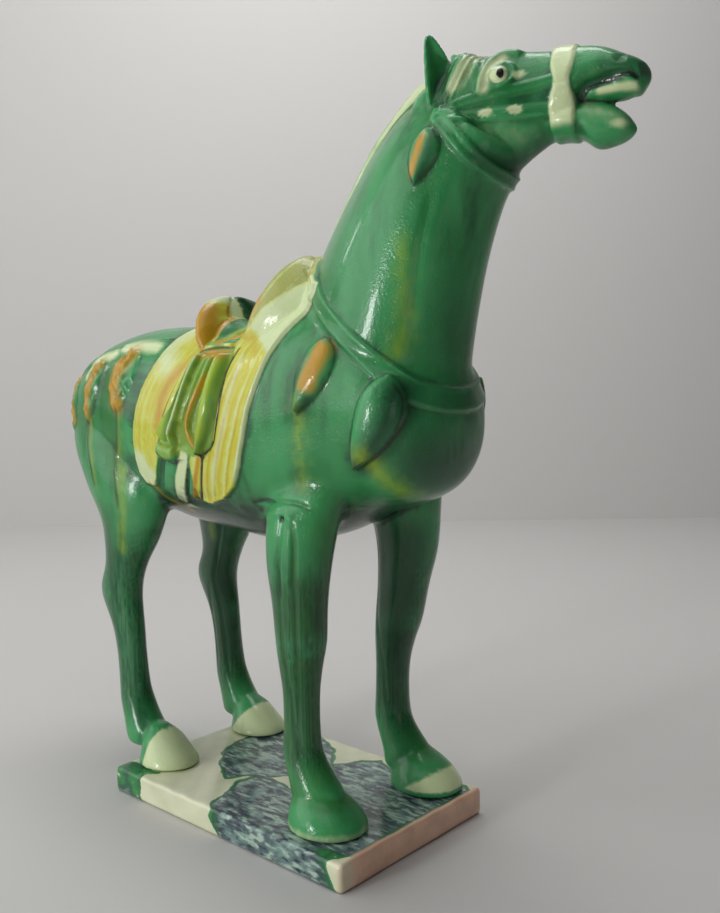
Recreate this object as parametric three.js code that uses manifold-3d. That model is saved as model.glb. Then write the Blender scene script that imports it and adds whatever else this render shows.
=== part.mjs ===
// A glazed earthenware horse with saddle and bridle, standing on its own rectangular plinth.
// Units are millimetres. +X is forward, +Y is the horse's left, +Z is up.
// The origin is the centre of the plinth's underside.

import * as THREE from 'three';
import { mergeVertices } from 'three/addons/utils/BufferGeometryUtils.js';
import Module from 'manifold-3d';

const wasm = await Module();
wasm.setup();

// Driving dimensions

const PLINTH = { length: 208, width: 130, height: 17, corner: 3.5, bevel: 1.5 };
const SEAT_GAP = 0.3;
const GROUND = PLINTH.height + SEAT_GAP;
const MIDLINE = 4.5;
const HALF_STANCE = 40.5;
const KNEE_HEIGHT = 122;
const LAID_LIFT = 0.8;

// The trunk from rump to chest: place along X, height of back and belly, half width.
const TRUNK = [
  { x: -201, top: 263, belly: 240, half: 13 },
  { x: -196, top: 277, belly: 230, half: 28 },
  { x: -184, top: 290, belly: 220, half: 41 },
  { x: -162, top: 303.5, belly: 208, half: 50 },
  { x: -125, top: 311, belly: 193, half: 54 },
  { x: -85, top: 311, belly: 180, half: 55 },
  { x: -40, top: 306, belly: 175, half: 55 },
  { x: 5, top: 310, belly: 172, half: 55 },
  { x: 45, top: 320, belly: 179, half: 54 },
  { x: 80, top: 316, belly: 194, half: 51 },
  { x: 106, top: 301, belly: 202, half: 48 },
  { x: 123, top: 285, belly: 212, half: 38 },
  { x: 131, top: 268, belly: 234, half: 19 },
];

// The neck on its middle plane: crest behind and throat in front, with the half width between.
const NECK = [
  { crest: [4, 296], throat: [124, 222], half: 41, y: 4.5 },
  { crest: [17, 320], throat: [127, 256], half: 42, y: 4.5 },
  { crest: [31, 338], throat: [131.5, 290], half: 41, y: 4.5 },
  { crest: [43, 357], throat: [139.5, 324], half: 38, y: 4.5 },
  { crest: [58, 378], throat: [147.5, 349], half: 35, y: 5 },
  { crest: [76, 401], throat: [155, 366], half: 31, y: 6.5 },
  { crest: [97, 420], throat: [163, 376], half: 26, y: 9 },
  { crest: [116, 427], throat: [168, 388], half: 22, y: 10 },
];

// The head lies along its own axis, turned a little to the horse's left from the poll.
const HEAD = { poll: [120, 4.5, 425], turn: THREE.MathUtils.degToRad(14) };
const SKULL = [
  { s: -8, top: 3, low: -30, half: 19 },
  { s: 8, top: 9, low: -44, half: 21 },
  { s: 25, top: 12.5, low: -48, half: 21.5 },
  { s: 40, top: 14, low: -48, half: 20 },
  { s: 51, top: 12.5, low: -41, half: 16.5 },
  { s: 62, top: 11, low: -34.5, half: 14 },
  { s: 72, top: 10.5, low: -32, half: 13 },
  { s: 80, top: 10.5, low: -18, half: 13 },
  { s: 90, top: 8, low: -14, half: 13 },
  { s: 99, top: 3, low: -15, half: 12.5 },
  { s: 105, top: -1, low: -18, half: 10.5 },
  { s: 108, top: -5, low: -16, half: 7.5 },
];
const JAW = [
  { s: 56, top: -18, low: -33, half: 9 },
  { s: 68, top: -19, low: -33, half: 12 },
  { s: 78, top: -19.5, low: -35, half: 12 },
  { s: 86, top: -21, low: -40.5, half: 11.5 },
  { s: 94, top: -23.5, low: -39.5, half: 10.5 },
  { s: 100, top: -26.5, low: -36.5, half: 8 },
  { s: 103.5, top: -29, low: -34, half: 4 },
];

const INNER_LIP = [
  { s: 76, top: -8, low: -19, half: 9 },
  { s: 88, top: -8, low: -18, half: 9 },
  { s: 97, top: -8, low: -18.5, half: 8.5 },
  { s: 102, top: -9, low: -18, half: 6 },
];

// A leg, from inside the trunk to the coronet: height, place along X from the cannon, then
// half depth to the front, half depth to the rear, half width and place across from the stance.
const FORELEG = [
  { z: 240, x: 14, front: 26, rear: 28, half: 10, inset: 14 },
  { z: 214, x: 6, front: 26, rear: 27, half: 15, inset: 8 },
  { z: 192, x: 1, front: 24, rear: 24, half: 18.5, inset: 3 },
  { z: 168, x: 0, front: 21, rear: 21, half: 17.5, inset: 0 },
  { z: 144, x: 0, front: 17.5, rear: 17.5, half: 15.5, inset: 0 },
  { z: 122, x: 0, front: 16.5, rear: 15, half: 14.8, inset: 0 },
  { z: 108, x: 0, front: 13.5, rear: 14, half: 12.8, inset: 0 },
  { z: 92, x: 0, front: 11.5, rear: 12, half: 10.8, inset: 0 },
  { z: 72, x: 0, front: 11.5, rear: 12, half: 10.4, inset: 0 },
  { z: 56, x: 1, front: 12.5, rear: 13.5, half: 11.5, inset: 0 },
  { z: 44, x: 6, front: 17, rear: 14, half: 13, inset: 0 },
  { z: 35, x: 11, front: 19, rear: 15.5, half: 14.5, inset: 0 },
  { z: 26, x: 11, front: 16, rear: 15, half: 13.5, inset: 0 },
];
const HINDLEG = [
  { z: 272, x: -26, front: 40, rear: 42, half: 20, inset: 16 },
  { z: 236, x: -22, front: 46, rear: 50, half: 24, inset: 11 },
  { z: 205, x: -8, front: 42, rear: 42, half: 23, inset: 6 },
  { z: 181, x: 1, front: 30, rear: 30, half: 18, inset: 2 },
  { z: 165, x: 0, front: 24, rear: 24, half: 15.5, inset: 1 },
  { z: 147, x: -6, front: 18.5, rear: 18, half: 12.5, inset: 0 },
  { z: 128, x: -11, front: 16.5, rear: 20, half: 12.3, inset: 0 },
  { z: 104, x: -5, front: 13.5, rear: 14.5, half: 10, inset: 0 },
  { z: 86, x: -2, front: 12, rear: 12.5, half: 9.4, inset: 0 },
  { z: 66, x: 1, front: 11, rear: 13, half: 10.2, inset: 0 },
  { z: 53, x: 4, front: 11.5, rear: 14.5, half: 11.5, inset: 0 },
  { z: 42, x: 8, front: 15, rear: 14, half: 12.5, inset: 0 },
  { z: 34, x: 13, front: 16, rear: 17, half: 13.5, inset: 0 },
  { z: 26, x: 13, front: 14, rear: 16, half: 12.5, inset: 0 },
];

// Hooves: height above the plinth top, place along X from the hoof's middle, half length and half
// width.
const HOOF = [
  { z: 0, x: 0, length: 22, half: 19.5 },
  { z: 5, x: -0.5, length: 21.5, half: 19 },
  { z: 11, x: -2.5, length: 18.5, half: 17 },
  { z: 17, x: -5.5, length: 14, half: 13.5 },
  { z: 22, x: -8, length: 8.5, half: 9 },
];

// The four legs: side, place of the cannon and of the hoof along X, size of the hoof, and how far the
// leg leans forward above the knee.
const LEGS = [
  { side: -1, cannon: 47.5, hoof: 67, size: 1.12, lean: 0, stations: FORELEG },
  { side: 1, cannon: 48.5, hoof: 74, size: 0.95, lean: 14, stations: FORELEG },
  { side: -1, cannon: -119.5, hoof: -82, size: 1, lean: 0, stations: HINDLEG },
  { side: 1, cannon: -113, hoof: -82, size: 1, lean: 0, stations: HINDLEG },
];

// The mane is a clipped crest along the neck.
const MANE = { half: 2.6, rise: 2.4, from: 0.22, to: 0.97 };

// A breast strap runs from the withers down round the front of the neck. Points are [x, z].
const BREAST_STRAP = { line: [[40, 336], [62, 321], [86, 302], [110, 281], [136, 253]], width: 9, rise: 2.2 };

// The saddlecloth's front and rear edges seen from the side, [x, z], and how far it stands off the
// body. Its front panel hangs from the panel line to the hem. Between the panel and the lappet at
// the rear it is cut out up to the notch, where the pleats show.
const CLOTH = {
  front: [[50, 334], [43, 308], [33, 290], [26, 268], [20, 246], [14, 226], [6, 211]],
  panel: -33,
  lappet: -63,
  hem: 198,
  notch: 228,
  rear: [[-84, 207], [-91, 222], [-91, 243], [-86, 262], [-79, 284], [-76, 303]],
  rise: 2.6,
};

// Pleats of the fringed undercloth that hang below the saddlecloth: place along X and half width.
const PLEATS = { at: [-62, -51, -40], half: [6, 6.5, 5.5], top: 234, bottom: 196, rise: 2.4 };

// Folds of the cover gathered over the saddlecloth: top and bottom [x, z], half width and height.
const FOLDS = [
  { top: [-44, 290], bottom: [-61, 231], half: 5, rise: 4.5 },
  { top: [-37, 292], bottom: [-46, 231], half: 6, rise: 7 },
  { top: [-27, 292], bottom: [-32, 240], half: 4, rise: 4.5 },
  { top: [-19, 292], bottom: [-20, 236], half: 5, rise: 6.5 },
  { top: [-12, 290], bottom: [-8, 235], half: 5, rise: 7 },
  { top: [-68, 233], bottom: [-40, 229], half: 6, rise: 4 },
  { top: [-27, 236], bottom: [-3, 232], half: 6, rise: 4 },
];

// Pommel and cantle: arched plates across the back. Each has the top of its rim, the foot of its
// rim, the foot and top of its base line, as [x, z], and its half span across.
const POMMEL = { rimTop: [23, 350], rimFoot: [-3, 300], baseTop: [44, 322], baseFoot: [5, 296], span: 31 };
const CANTLE = { rimTop: [-53, 328], rimFoot: [-46, 302], baseTop: [-42, 306], baseFoot: [-40, 292], span: 34 };
const PLATE_HALF = 3.4;
const SEAT = { rear: -48, front: 40, top: 308, depth: 30, half: 33, cantleRise: 7, pommelRise: 18 };

// Leaf pendants: top and tip as [x, z] on the side of the body, half width and rise.
const LEAVES = [
  { top: [78, 297], tip: [59, 252], half: 9, rise: 5.5 },
  { top: [114, 274], tip: [93, 222], half: 12.5, rise: 6.5 },
  { top: [-105, 292], tip: [-111, 253], half: 10, rise: 4.5 },
  { top: [-150, 288], tip: [-149, 244], half: 9.5, rise: 4.5 },
  { top: [-181, 275], tip: [-179, 239], half: 7, rise: 3.5 },
  { top: [128, 405], tip: [126, 371], half: 6.5, rise: 4.5 },
];

// A docked tail, bound short: [x, z] along its middle, with its radii.
const TAIL = [
  { x: -182, z: 292, half: 7, deep: 6 },
  { x: -197, z: 285, half: 9, deep: 8 },
  { x: -204, z: 268, half: 10, deep: 9 },
  { x: -205, z: 251, half: 8.5, deep: 8 },
  { x: -201, z: 237, half: 4.5, deep: 5 },
];

// On the head, places are [along, across, height] from the poll; across is to the horse's right.
const EAR = { base: [7, 15, -16], belly: [8, 17, 4], tip: [3, 18, 25], half: 8.5, thick: 4.5 };
const EYE = { at: [39, 16.5, -1], radius: 5.4, lid: 7.2 };
const FORELOCK = { from: [24, 1, 13], by: [19, 11, 7], to: [12, 19, -12], half: 6.5, rise: 4.5 };
const NOSEBAND = { from: 64, to: 74, rise: 2 };
const STRAPS = [
  { path: [[8, 20, -17], [24, 20, -17], [42, 18, -13], [66, 14, -3]], half: 3.4, rise: 2 },
  { path: [[8, 20, -18], [24, 21, -22], [44, 18, -20], [66, 13, -14]], half: 3.4, rise: 2 },
  { path: [[9, 20, -17], [19, 22, -31], [30, 20, -43], [38, 13, -50]], half: 4, rise: 2.2 },
];

// Shared shaping

const X = new THREE.Vector3(1, 0, 0);
const Y = new THREE.Vector3(0, 1, 0);
const Z = new THREE.Vector3(0, 0, 1);
const vec = (x, y, z) => new THREE.Vector3(x, y, z);
const roundedPower = (value, power) => Math.sign(value) * Math.abs(value) ** power;

// A solid through rings. Each station has a centre, an up and a side direction, and its radii:
// above and below the centre along up, and half the width along side. The square number makes the
// rings boxier, taper narrows them upwards, swell adds to every radius, and ends push out the tips.
function loft(stations, { sides = 20, rings = 20, square = 2, taper = 0, swell = 0, ends = [0, 0] } = {}) {
  const smooth = (pick) => new THREE.CatmullRomCurve3(stations.map(pick), false, 'catmullrom', 0.5);
  const centre = smooth((station) => station.centre);
  const up = smooth((station) => station.up);
  const side = smooth((station) => station.side);
  const size = smooth((station) => vec(station.above, station.below, station.half));
  const positions = [];
  for (let ring = 0; ring <= rings; ring++) {
    const t = ring / rings;
    const at = centre.getPoint(t);
    const upward = up.getPoint(t).normalize();
    const sideward = side.getPoint(t).normalize();
    const radii = size.getPoint(t).addScalar(swell);
    for (let k = 0; k < sides; k++) {
      const angle = (2 * Math.PI * k) / sides;
      const rise = roundedPower(Math.cos(angle), 2 / square);
      const reach = roundedPower(Math.sin(angle), 2 / square);
      const point = at.clone();
      point.addScaledVector(upward, rise * (rise > 0 ? radii.x : radii.y));
      point.addScaledVector(sideward, reach * radii.z * (1 - taper * rise));
      positions.push(point.x, point.y, point.z);
    }
  }
  const first = positions.length / 3;
  for (const t of [0, 1]) {
    const reach = t === 0 ? -ends[0] - swell : ends[1] + swell;
    const apex = centre.getPoint(t).addScaledVector(centre.getTangent(t), reach);
    positions.push(apex.x, apex.y, apex.z);
  }
  const faces = [];
  for (let ring = 0; ring < rings; ring++) {
    for (let k = 0; k < sides; k++) {
      const a = ring * sides + k;
      const b = ring * sides + ((k + 1) % sides);
      faces.push(a, b, a + sides, b, b + sides, a + sides);
    }
  }
  for (let k = 0; k < sides; k++) {
    const next = (k + 1) % sides;
    faces.push(first, next, k);
    faces.push(first + 1, rings * sides + k, rings * sides + next);
  }
  const geometry = new THREE.BufferGeometry();
  geometry.setAttribute('position', new THREE.Float32BufferAttribute(positions, 3));
  geometry.setIndex(faces);
  return geometry;
}

// A closed geometry as a solid for joining and cutting. An inside-out one is turned round first.
function solid(geometry) {
  const bare = geometry.clone();
  for (const name of Object.keys(bare.attributes)) {
    if (name !== 'position') bare.deleteAttribute(name);
  }
  const merged = mergeVertices(bare, 1e-4);
  const vertProperties = new Float32Array(merged.attributes.position.array);
  const triVerts = new Uint32Array(merged.index.array);
  const made = new wasm.Manifold(new wasm.Mesh({ numProp: 3, vertProperties, triVerts }));
  if (made.volume() > 0) return made;
  for (let k = 0; k < triVerts.length; k += 3) {
    [triVerts[k], triVerts[k + 1]] = [triVerts[k + 1], triVerts[k]];
  }
  return new wasm.Manifold(new wasm.Mesh({ numProp: 3, vertProperties, triVerts }));
}

function geometryOf(manifold) {
  const mesh = manifold.getMesh();
  const geometry = new THREE.BufferGeometry();
  geometry.setAttribute('position', new THREE.BufferAttribute(mesh.vertProperties, 3));
  geometry.setIndex(new THREE.BufferAttribute(mesh.triVerts, 1));
  return geometry;
}

const joined = (parts) => parts.reduce((all, part) => all.add(part));

// Trunk, neck and head

function trunk(swell = 0) {
  const stations = TRUNK.map(({ x, top, belly, half }) => {
    const reach = (top - belly) / 2;
    return { centre: vec(x, MIDLINE, belly + reach), up: Z, side: Y, above: reach, below: reach, half };
  });
  return loft(stations, { sides: 18, rings: 15, square: 2.15, swell, ends: [2, 3.5] });
}

function neck(swell = 0) {
  const stations = NECK.map(({ crest, throat, half, y }) => {
    const rear = vec(crest[0], y, crest[1]);
    const front = vec(throat[0], y, throat[1]);
    const up = rear.clone().sub(front);
    const reach = up.length() / 2;
    const centre = rear.clone().add(front).multiplyScalar(0.5);
    return { centre, up: up.normalize(), side: Y, above: reach, below: reach, half };
  });
  return loft(stations, { sides: 14, rings: 9, taper: 0.28, swell });
}

const AHEAD = vec(Math.cos(HEAD.turn), Math.sin(HEAD.turn), 0);
const ASIDE = vec(-Math.sin(HEAD.turn), Math.cos(HEAD.turn), 0);

function onHead(s, across, height) {
  const place = vec(...HEAD.poll).addScaledVector(Z, height);
  return place.addScaledVector(AHEAD, s).addScaledVector(ASIDE, across);
}

const SKULL_FACETS = { sides: 12, rings: 15, ends: [0, 2] };

function headLoft(profile, options) {
  const stations = profile.map(({ s, top, low, half }) => {
    const reach = (top - low) / 2;
    return { centre: onHead(s, 0, low + reach), up: Z, side: ASIDE, above: reach, below: reach, half };
  });
  return loft(stations, options);
}

// Laying things on the skin

const skinMaterial = new THREE.MeshBasicMaterial({ side: THREE.DoubleSide });

// Where a straight line, coming from outside along the given direction, first meets a surface, and
// which way the surface faces there.
function meet(surface, from, direction) {
  const hit = new THREE.Raycaster(from, direction).intersectObject(surface)[0];
  const normal = hit.face.normal.clone();
  if (normal.dot(direction) > 0) normal.negate();
  return { point: hit.point, normal };
}

// A point of the flank at [x, z]. The side is -1 for the horse's right and 1 for its left.
function onFlank(surface, [x, z], side) {
  return meet(surface, vec(x, MIDLINE + side * 300, z), vec(0, -side, 0));
}

// A low raised form laid along places on a surface, sunk a little into it. Each place takes a share
// of its neighbours' facing, so that the form doesn't twist from one facet to the next.
function laid(places, { half, rise, sunk = 2, sides = 5, rings = 10 }) {
  const stations = places.map(({ point }, k) => {
    const t = k / (places.length - 1);
    const next = places[Math.min(k + 1, places.length - 1)];
    const last = places[Math.max(k - 1, 0)];
    const line = next.point.clone().sub(last.point).normalize();
    const normal = places[k].normal.clone().add(next.normal).add(last.normal).normalize();
    const side = line.clone().cross(normal).normalize();
    const up = side.clone().cross(line).normalize();
    const centre = point.clone().addScaledVector(up, LAID_LIFT);
    return { centre, up, side, above: rise(t) - LAID_LIFT, below: sunk + LAID_LIFT, half: half(t) };
  });
  return loft(stations, { sides, rings });
}

const roundEnded = (size, blunt = 0.35) => (t) => size * Math.max(Math.sin(Math.PI * t), 0.02) ** blunt;
const leafShaped = (size) => (t) => size * Math.max(Math.sin(Math.PI * t ** 0.72), 0.03) ** 0.8;

// Evenly spaced places on a straight line.
function along(from, to, steps) {
  const points = [];
  for (let k = 0; k <= steps; k++) {
    const t = k / steps;
    points.push([from[0] + t * (to[0] - from[0]), from[1] + t * (to[1] - from[1])]);
  }
  return points;
}

// A flat outline in the plane of X and Z, carried right through the body from side to side.
function through(outline) {
  const depth = 200;
  const plate = new THREE.ExtrudeGeometry(outline, { depth, bevelEnabled: false, curveSegments: 3 });
  plate.rotateX(Math.PI / 2);
  plate.translate(0, MIDLINE + depth / 2, 0);
  return solid(plate);
}

// Harness and saddle

function breastStrap(bodyUnder) {
  const line = new THREE.SplineCurve(BREAST_STRAP.line.map(([x, z]) => new THREE.Vector2(x, z)));
  const steps = 8;
  const upper = [];
  const lower = [];
  for (let k = 0; k <= steps; k++) {
    const point = line.getPoint(k / steps);
    const slope = line.getTangent(k / steps);
    const off = new THREE.Vector2(-slope.y, slope.x).multiplyScalar(BREAST_STRAP.width / 2);
    upper.push(point.clone().add(off));
    lower.push(point.clone().sub(off));
  }
  return bodyUnder(BREAST_STRAP.rise).intersect(through(new THREE.Shape([...upper, ...lower.reverse()])));
}

function saddlecloth(bodyUnder) {
  const outline = new THREE.Shape();
  const front = CLOTH.front.map(([x, z]) => new THREE.Vector2(x, z));
  const rear = CLOTH.rear.map(([x, z]) => new THREE.Vector2(x, z));
  outline.moveTo(-78, 350);
  outline.lineTo(50, 350);
  outline.lineTo(front[0].x, front[0].y);
  outline.splineThru(front.slice(1));
  outline.quadraticCurveTo(CLOTH.panel + 32, CLOTH.hem + 1, CLOTH.panel + 20, CLOTH.hem);
  outline.lineTo(CLOTH.panel, CLOTH.hem);
  outline.lineTo(CLOTH.panel, CLOTH.notch);
  outline.lineTo(CLOTH.lappet, CLOTH.notch);
  outline.quadraticCurveTo(CLOTH.lappet - 8, CLOTH.notch - 24, rear[0].x, rear[0].y);
  outline.splineThru(rear.slice(1));
  outline.closePath();
  return bodyUnder(CLOTH.rise).intersect(through(outline));
}

// An arched plate across the back, following its rim and its base line from foot to foot.
function archedPlate({ rimTop, rimFoot, baseTop, baseFoot, span }) {
  const stations = [];
  for (let k = 0; k <= 12; k++) {
    const angle = ((k / 12) * 2 - 1) * (Math.PI / 2);
    const lift = Math.cos(angle);
    const y = MIDLINE + span * Math.sin(angle);
    const at = (foot, top, inset) => vec(
      foot[0] + (top[0] - foot[0]) * lift,
      MIDLINE + (y - MIDLINE) * inset,
      foot[1] + (top[1] - foot[1]) * lift ** 0.85,
    );
    const rim = at(rimFoot, rimTop, 1);
    const base = at(baseFoot, baseTop, 0.97);
    const up = rim.clone().sub(base);
    const reach = Math.max(up.length() / 2, PLATE_HALF);
    const tangent = vec(0, lift, 0).add(vec(0, 0, -Math.sin(angle)));
    const side = tangent.cross(up).normalize();
    const centre = rim.clone().add(base).multiplyScalar(0.5);
    stations.push({ centre, up: up.normalize(), side, above: reach, below: reach + 3, half: PLATE_HALF });
  }
  return loft(stations, { sides: 6, rings: 10, square: 2.2 });
}

function seat() {
  const stations = [];
  for (let k = 0; k <= 6; k++) {
    const t = k / 6;
    const x = SEAT.rear + t * (SEAT.front - SEAT.rear);
    const rear = SEAT.cantleRise * Math.max(1 - 2 * t, 0) ** 2;
    const front = SEAT.pommelRise * Math.max(2 * t - 1, 0) ** 2;
    const centre = vec(x, MIDLINE, SEAT.top - SEAT.depth);
    const above = SEAT.depth + rear + front;
    stations.push({ centre, up: Z, side: Y, above, below: 12, half: SEAT.half * (1 - 0.25 * t) });
  }
  return loft(stations, { sides: 12, rings: 3, square: 2.4 });
}

function bothSides(make) {
  return [-1, 1].flatMap((side) => make(side));
}

function trimmings(skin) {
  const strips = [];
  for (const leaf of LEAVES) {
    strips.push(...bothSides((side) => {
      const places = along(leaf.top, leaf.tip, 4).map((place) => onFlank(skin, place, side));
      return laid(places, { half: leafShaped(leaf.half), rise: leafShaped(leaf.rise), rings: 4 });
    }));
  }
  for (const fold of FOLDS) {
    strips.push(...bothSides((side) => {
      const places = along(fold.top, fold.bottom, 4).map((place) => onFlank(skin, place, side));
      const rise = (t) => CLOTH.rise + roundEnded(fold.rise)(t);
      return laid(places, { half: roundEnded(fold.half), rise, rings: 3 });
    }));
  }
  PLEATS.at.forEach((x, k) => {
    strips.push(...bothSides((side) => {
      const places = along([x, PLEATS.top], [x, PLEATS.bottom], 2).map((place) => onFlank(skin, place, side));
      const half = roundEnded(PLEATS.half[k], 0.15);
      return laid(places, { half, rise: roundEnded(PLEATS.rise), rings: 2 });
    }));
  });
  return strips;
}

function mane() {
  const line = new THREE.CatmullRomCurve3(NECK.map(({ crest, y }) => vec(crest[0], y, crest[1])));
  const places = [];
  for (let k = 0; k <= 10; k++) {
    const t = MANE.from + (MANE.to - MANE.from) * (k / 10);
    const tangent = line.getTangent(t);
    places.push({ point: line.getPoint(t), normal: vec(-tangent.z, 0, tangent.x) });
  }
  const half = roundEnded(MANE.half, 0.2);
  const rise = roundEnded(MANE.rise, 0.3);
  return laid(places, { half, rise, sunk: 3, sides: 4, rings: 8 });
}

function tail() {
  const stations = TAIL.map(({ x, z, half, deep }, k) => {
    const next = TAIL[Math.min(k + 1, TAIL.length - 1)];
    const last = TAIL[Math.max(k - 1, 0)];
    const line = vec(next.x - last.x, 0, next.z - last.z).normalize();
    const up = vec(-line.z, 0, line.x);
    return { centre: vec(x, MIDLINE, z), up, side: Y, above: deep, below: deep, half };
  });
  return loft(stations, { sides: 8, rings: 5 });
}

// Ears, eyes, forelock and bridle

const headPlace = ([s, right, height], side) => onHead(s, side * right, height);

function ear(side) {
  const line = [EAR.base, EAR.belly, EAR.tip].map((place) => headPlace(place, side));
  const curve = new THREE.CatmullRomCurve3(line);
  const outward = ASIDE.clone().multiplyScalar(side).addScaledVector(AHEAD, 0.35).normalize();
  const stations = [];
  for (let k = 0; k <= 6; k++) {
    const t = k / 6;
    const width = EAR.half * Math.max(Math.sin(Math.PI * (0.22 + 0.76 * t)), 0.05) ** 0.8;
    const tangent = curve.getTangent(t);
    const across = tangent.clone().cross(outward).normalize();
    stations.push({
      centre: curve.getPoint(t),
      up: outward,
      side: across,
      above: EAR.thick * (1 - 0.75 * t),
      below: EAR.thick * (1 - 0.75 * t),
      half: width,
    });
  }
  const shell = solid(loft(stations, { sides: 8, rings: 5 }));
  const hollow = stations.slice(2).map((station, k) => ({
    ...station,
    centre: station.centre.clone().addScaledVector(outward, EAR.thick * (0.95 - 0.12 * k)),
    half: station.half * 0.62,
    above: station.above,
    below: station.below * 0.75,
  }));
  return shell.subtract(solid(loft(hollow, { sides: 6, rings: 3 })));
}

function eye(side) {
  const [s, right, height] = EYE.at;
  const ball = new THREE.SphereGeometry(EYE.radius, 7, 5);
  const centre = onHead(s, side * (right - 1), height);
  ball.translate(centre.x, centre.y, centre.z);
  const lid = new THREE.TorusGeometry(EYE.lid - 1.2, 2, 3, 8);
  lid.rotateX(Math.PI / 2);
  lid.rotateZ(HEAD.turn - side * 0.25);
  lid.translate(...onHead(s, side * (right + 0.2), height).toArray());
  return [ball, lid];
}

function headStrips(headSkin) {
  const cast = ([s, , height], side) => {
    const from = onHead(s, side * 60, height);
    return meet(headSkin, from, ASIDE.clone().multiplyScalar(-side));
  };
  const strips = [];
  for (const strap of STRAPS) {
    const route = new THREE.CatmullRomCurve3(strap.path.map((place) => vec(...place)));
    strips.push(...bothSides((side) => {
      const places = route.getPoints(6).map((place) => cast(place.toArray(), side));
      return laid(places, { half: () => strap.half, rise: () => strap.rise, rings: 4 });
    }));
  }
  strips.push(...bothSides((side) => {
    const line = [FORELOCK.from, FORELOCK.by, FORELOCK.to].map((place) => headPlace(place, side));
    const route = new THREE.CatmullRomCurve3(line);
    const outward = ASIDE.clone().multiplyScalar(side).addScaledVector(Z, 0.7).normalize();
    const places = route.getPoints(6).map((point) => ({ point, normal: outward }));
    const half = roundEnded(FORELOCK.half, 0.3);
    return laid(places, { half, rise: roundEnded(FORELOCK.rise), sunk: 5, rings: 6 });
  }));
  return strips;
}

function noseband() {
  const { from, to, rise } = NOSEBAND;
  const swollen = solid(headLoft(SKULL, { ...SKULL_FACETS, swell: rise }));
  const plate = new THREE.BoxGeometry(to - from, 60, 80);
  plate.translate((from + to) / 2, 0, -12);
  plate.rotateZ(HEAD.turn);
  plate.translate(...HEAD.poll);
  return swollen.intersect(solid(plate));
}

// Legs and hooves

function leg({ side, cannon, hoof, size, lean, stations }) {
  const y = MIDLINE + side * HALF_STANCE;
  const shaft = stations.map(({ z, x, front, rear, half, inset }) => {
    const forward = cannon + x + lean * THREE.MathUtils.smoothstep(z, KNEE_HEIGHT - 45, KNEE_HEIGHT + 60);
    return { centre: vec(forward, y - side * inset, z), up: X, side: Y, above: front, below: rear, half };
  });
  const foot = HOOF.map(({ z, x, length, half }) => (
    {
      centre: vec(hoof + x * size, y, GROUND + z),
      up: X,
      side: Y,
      above: length * size,
      below: length * size,
      half: half * size,
    }
  ));
  return [
    loft(shaft, { sides: 9, rings: 13, ends: [0, 5] }),
    loft(foot, { sides: 10, rings: 3, ends: [0, 2] }),
  ];
}

function horse() {
  const bodyUnder = (swell) => solid(trunk(swell)).add(solid(neck(swell)));
  const body = bodyUnder(0);
  const skull = headLoft(SKULL, SKULL_FACETS);
  const jaw = headLoft(JAW, { sides: 8, rings: 7 });
  const innerLip = headLoft(INNER_LIP, { sides: 8, rings: 3 });
  const head = joined([skull, jaw, innerLip].map(solid));
  const skin = new THREE.Mesh(geometryOf(body), skinMaterial);
  const headSkin = new THREE.Mesh(geometryOf(head.add(body)), skinMaterial);
  const forms = [
    ...LEGS.flatMap(leg),
    ...trimmings(skin),
    ...headStrips(headSkin),
    ...bothSides(eye),
    mane(),
    tail(),
    seat(),
    archedPlate(POMMEL),
    archedPlate(CANTLE),
  ];
  return joined([
    body,
    head,
    breastStrap(bodyUnder),
    saddlecloth(bodyUnder),
    noseband(),
    ...bothSides(ear),
    ...forms.map(solid),
  ]);
}

// The plinth: a slab with its corners rounded and its upper edge eased.

function plinth() {
  const { length, width, height, corner, bevel } = PLINTH;
  const outline = new THREE.Shape();
  const x = length / 2 - bevel;
  const y = width / 2 - bevel;
  const turn = corner - bevel;
  outline.moveTo(x - turn, -y);
  outline.absarc(x - turn, -y + turn, turn, -Math.PI / 2, 0);
  outline.absarc(x - turn, y - turn, turn, 0, Math.PI / 2);
  outline.absarc(-x + turn, y - turn, turn, Math.PI / 2, Math.PI);
  outline.absarc(-x + turn, -y + turn, turn, Math.PI, 1.5 * Math.PI);
  const slab = new THREE.ExtrudeGeometry(outline, {
    depth: height - 2 * bevel,
    bevelEnabled: true,
    bevelThickness: bevel,
    bevelSize: bevel,
    bevelSegments: 1,
    curveSegments: 3,
  });
  slab.translate(0, 0, bevel);
  return solid(slab);
}

const glaze = { color: 0x3f9a5c, roughness: 0.18, metalness: 0 };
const slip = { color: 0xd9d6b8, roughness: 0.45, metalness: 0 };

const figure = new THREE.Group();
for (const [name, body, finish] of [['horse', horse(), glaze], ['plinth', plinth(), slip]]) {
  const mesh = new THREE.Mesh(geometryOf(body), new THREE.MeshStandardMaterial(finish));
  mesh.name = name;
  figure.add(mesh);
}

export default figure;
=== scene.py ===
# %% [markdown]
# A glazed earthenware horse with saddle and bridle stands on its own slab. This lesson dresses the packed
# solids with a finer mesh and a running lead glaze. The pieces are measured in millimetres and brought to
# metres as they go into a mesh. +X is forward, +Y the horse's left, +Z up.

import math

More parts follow.
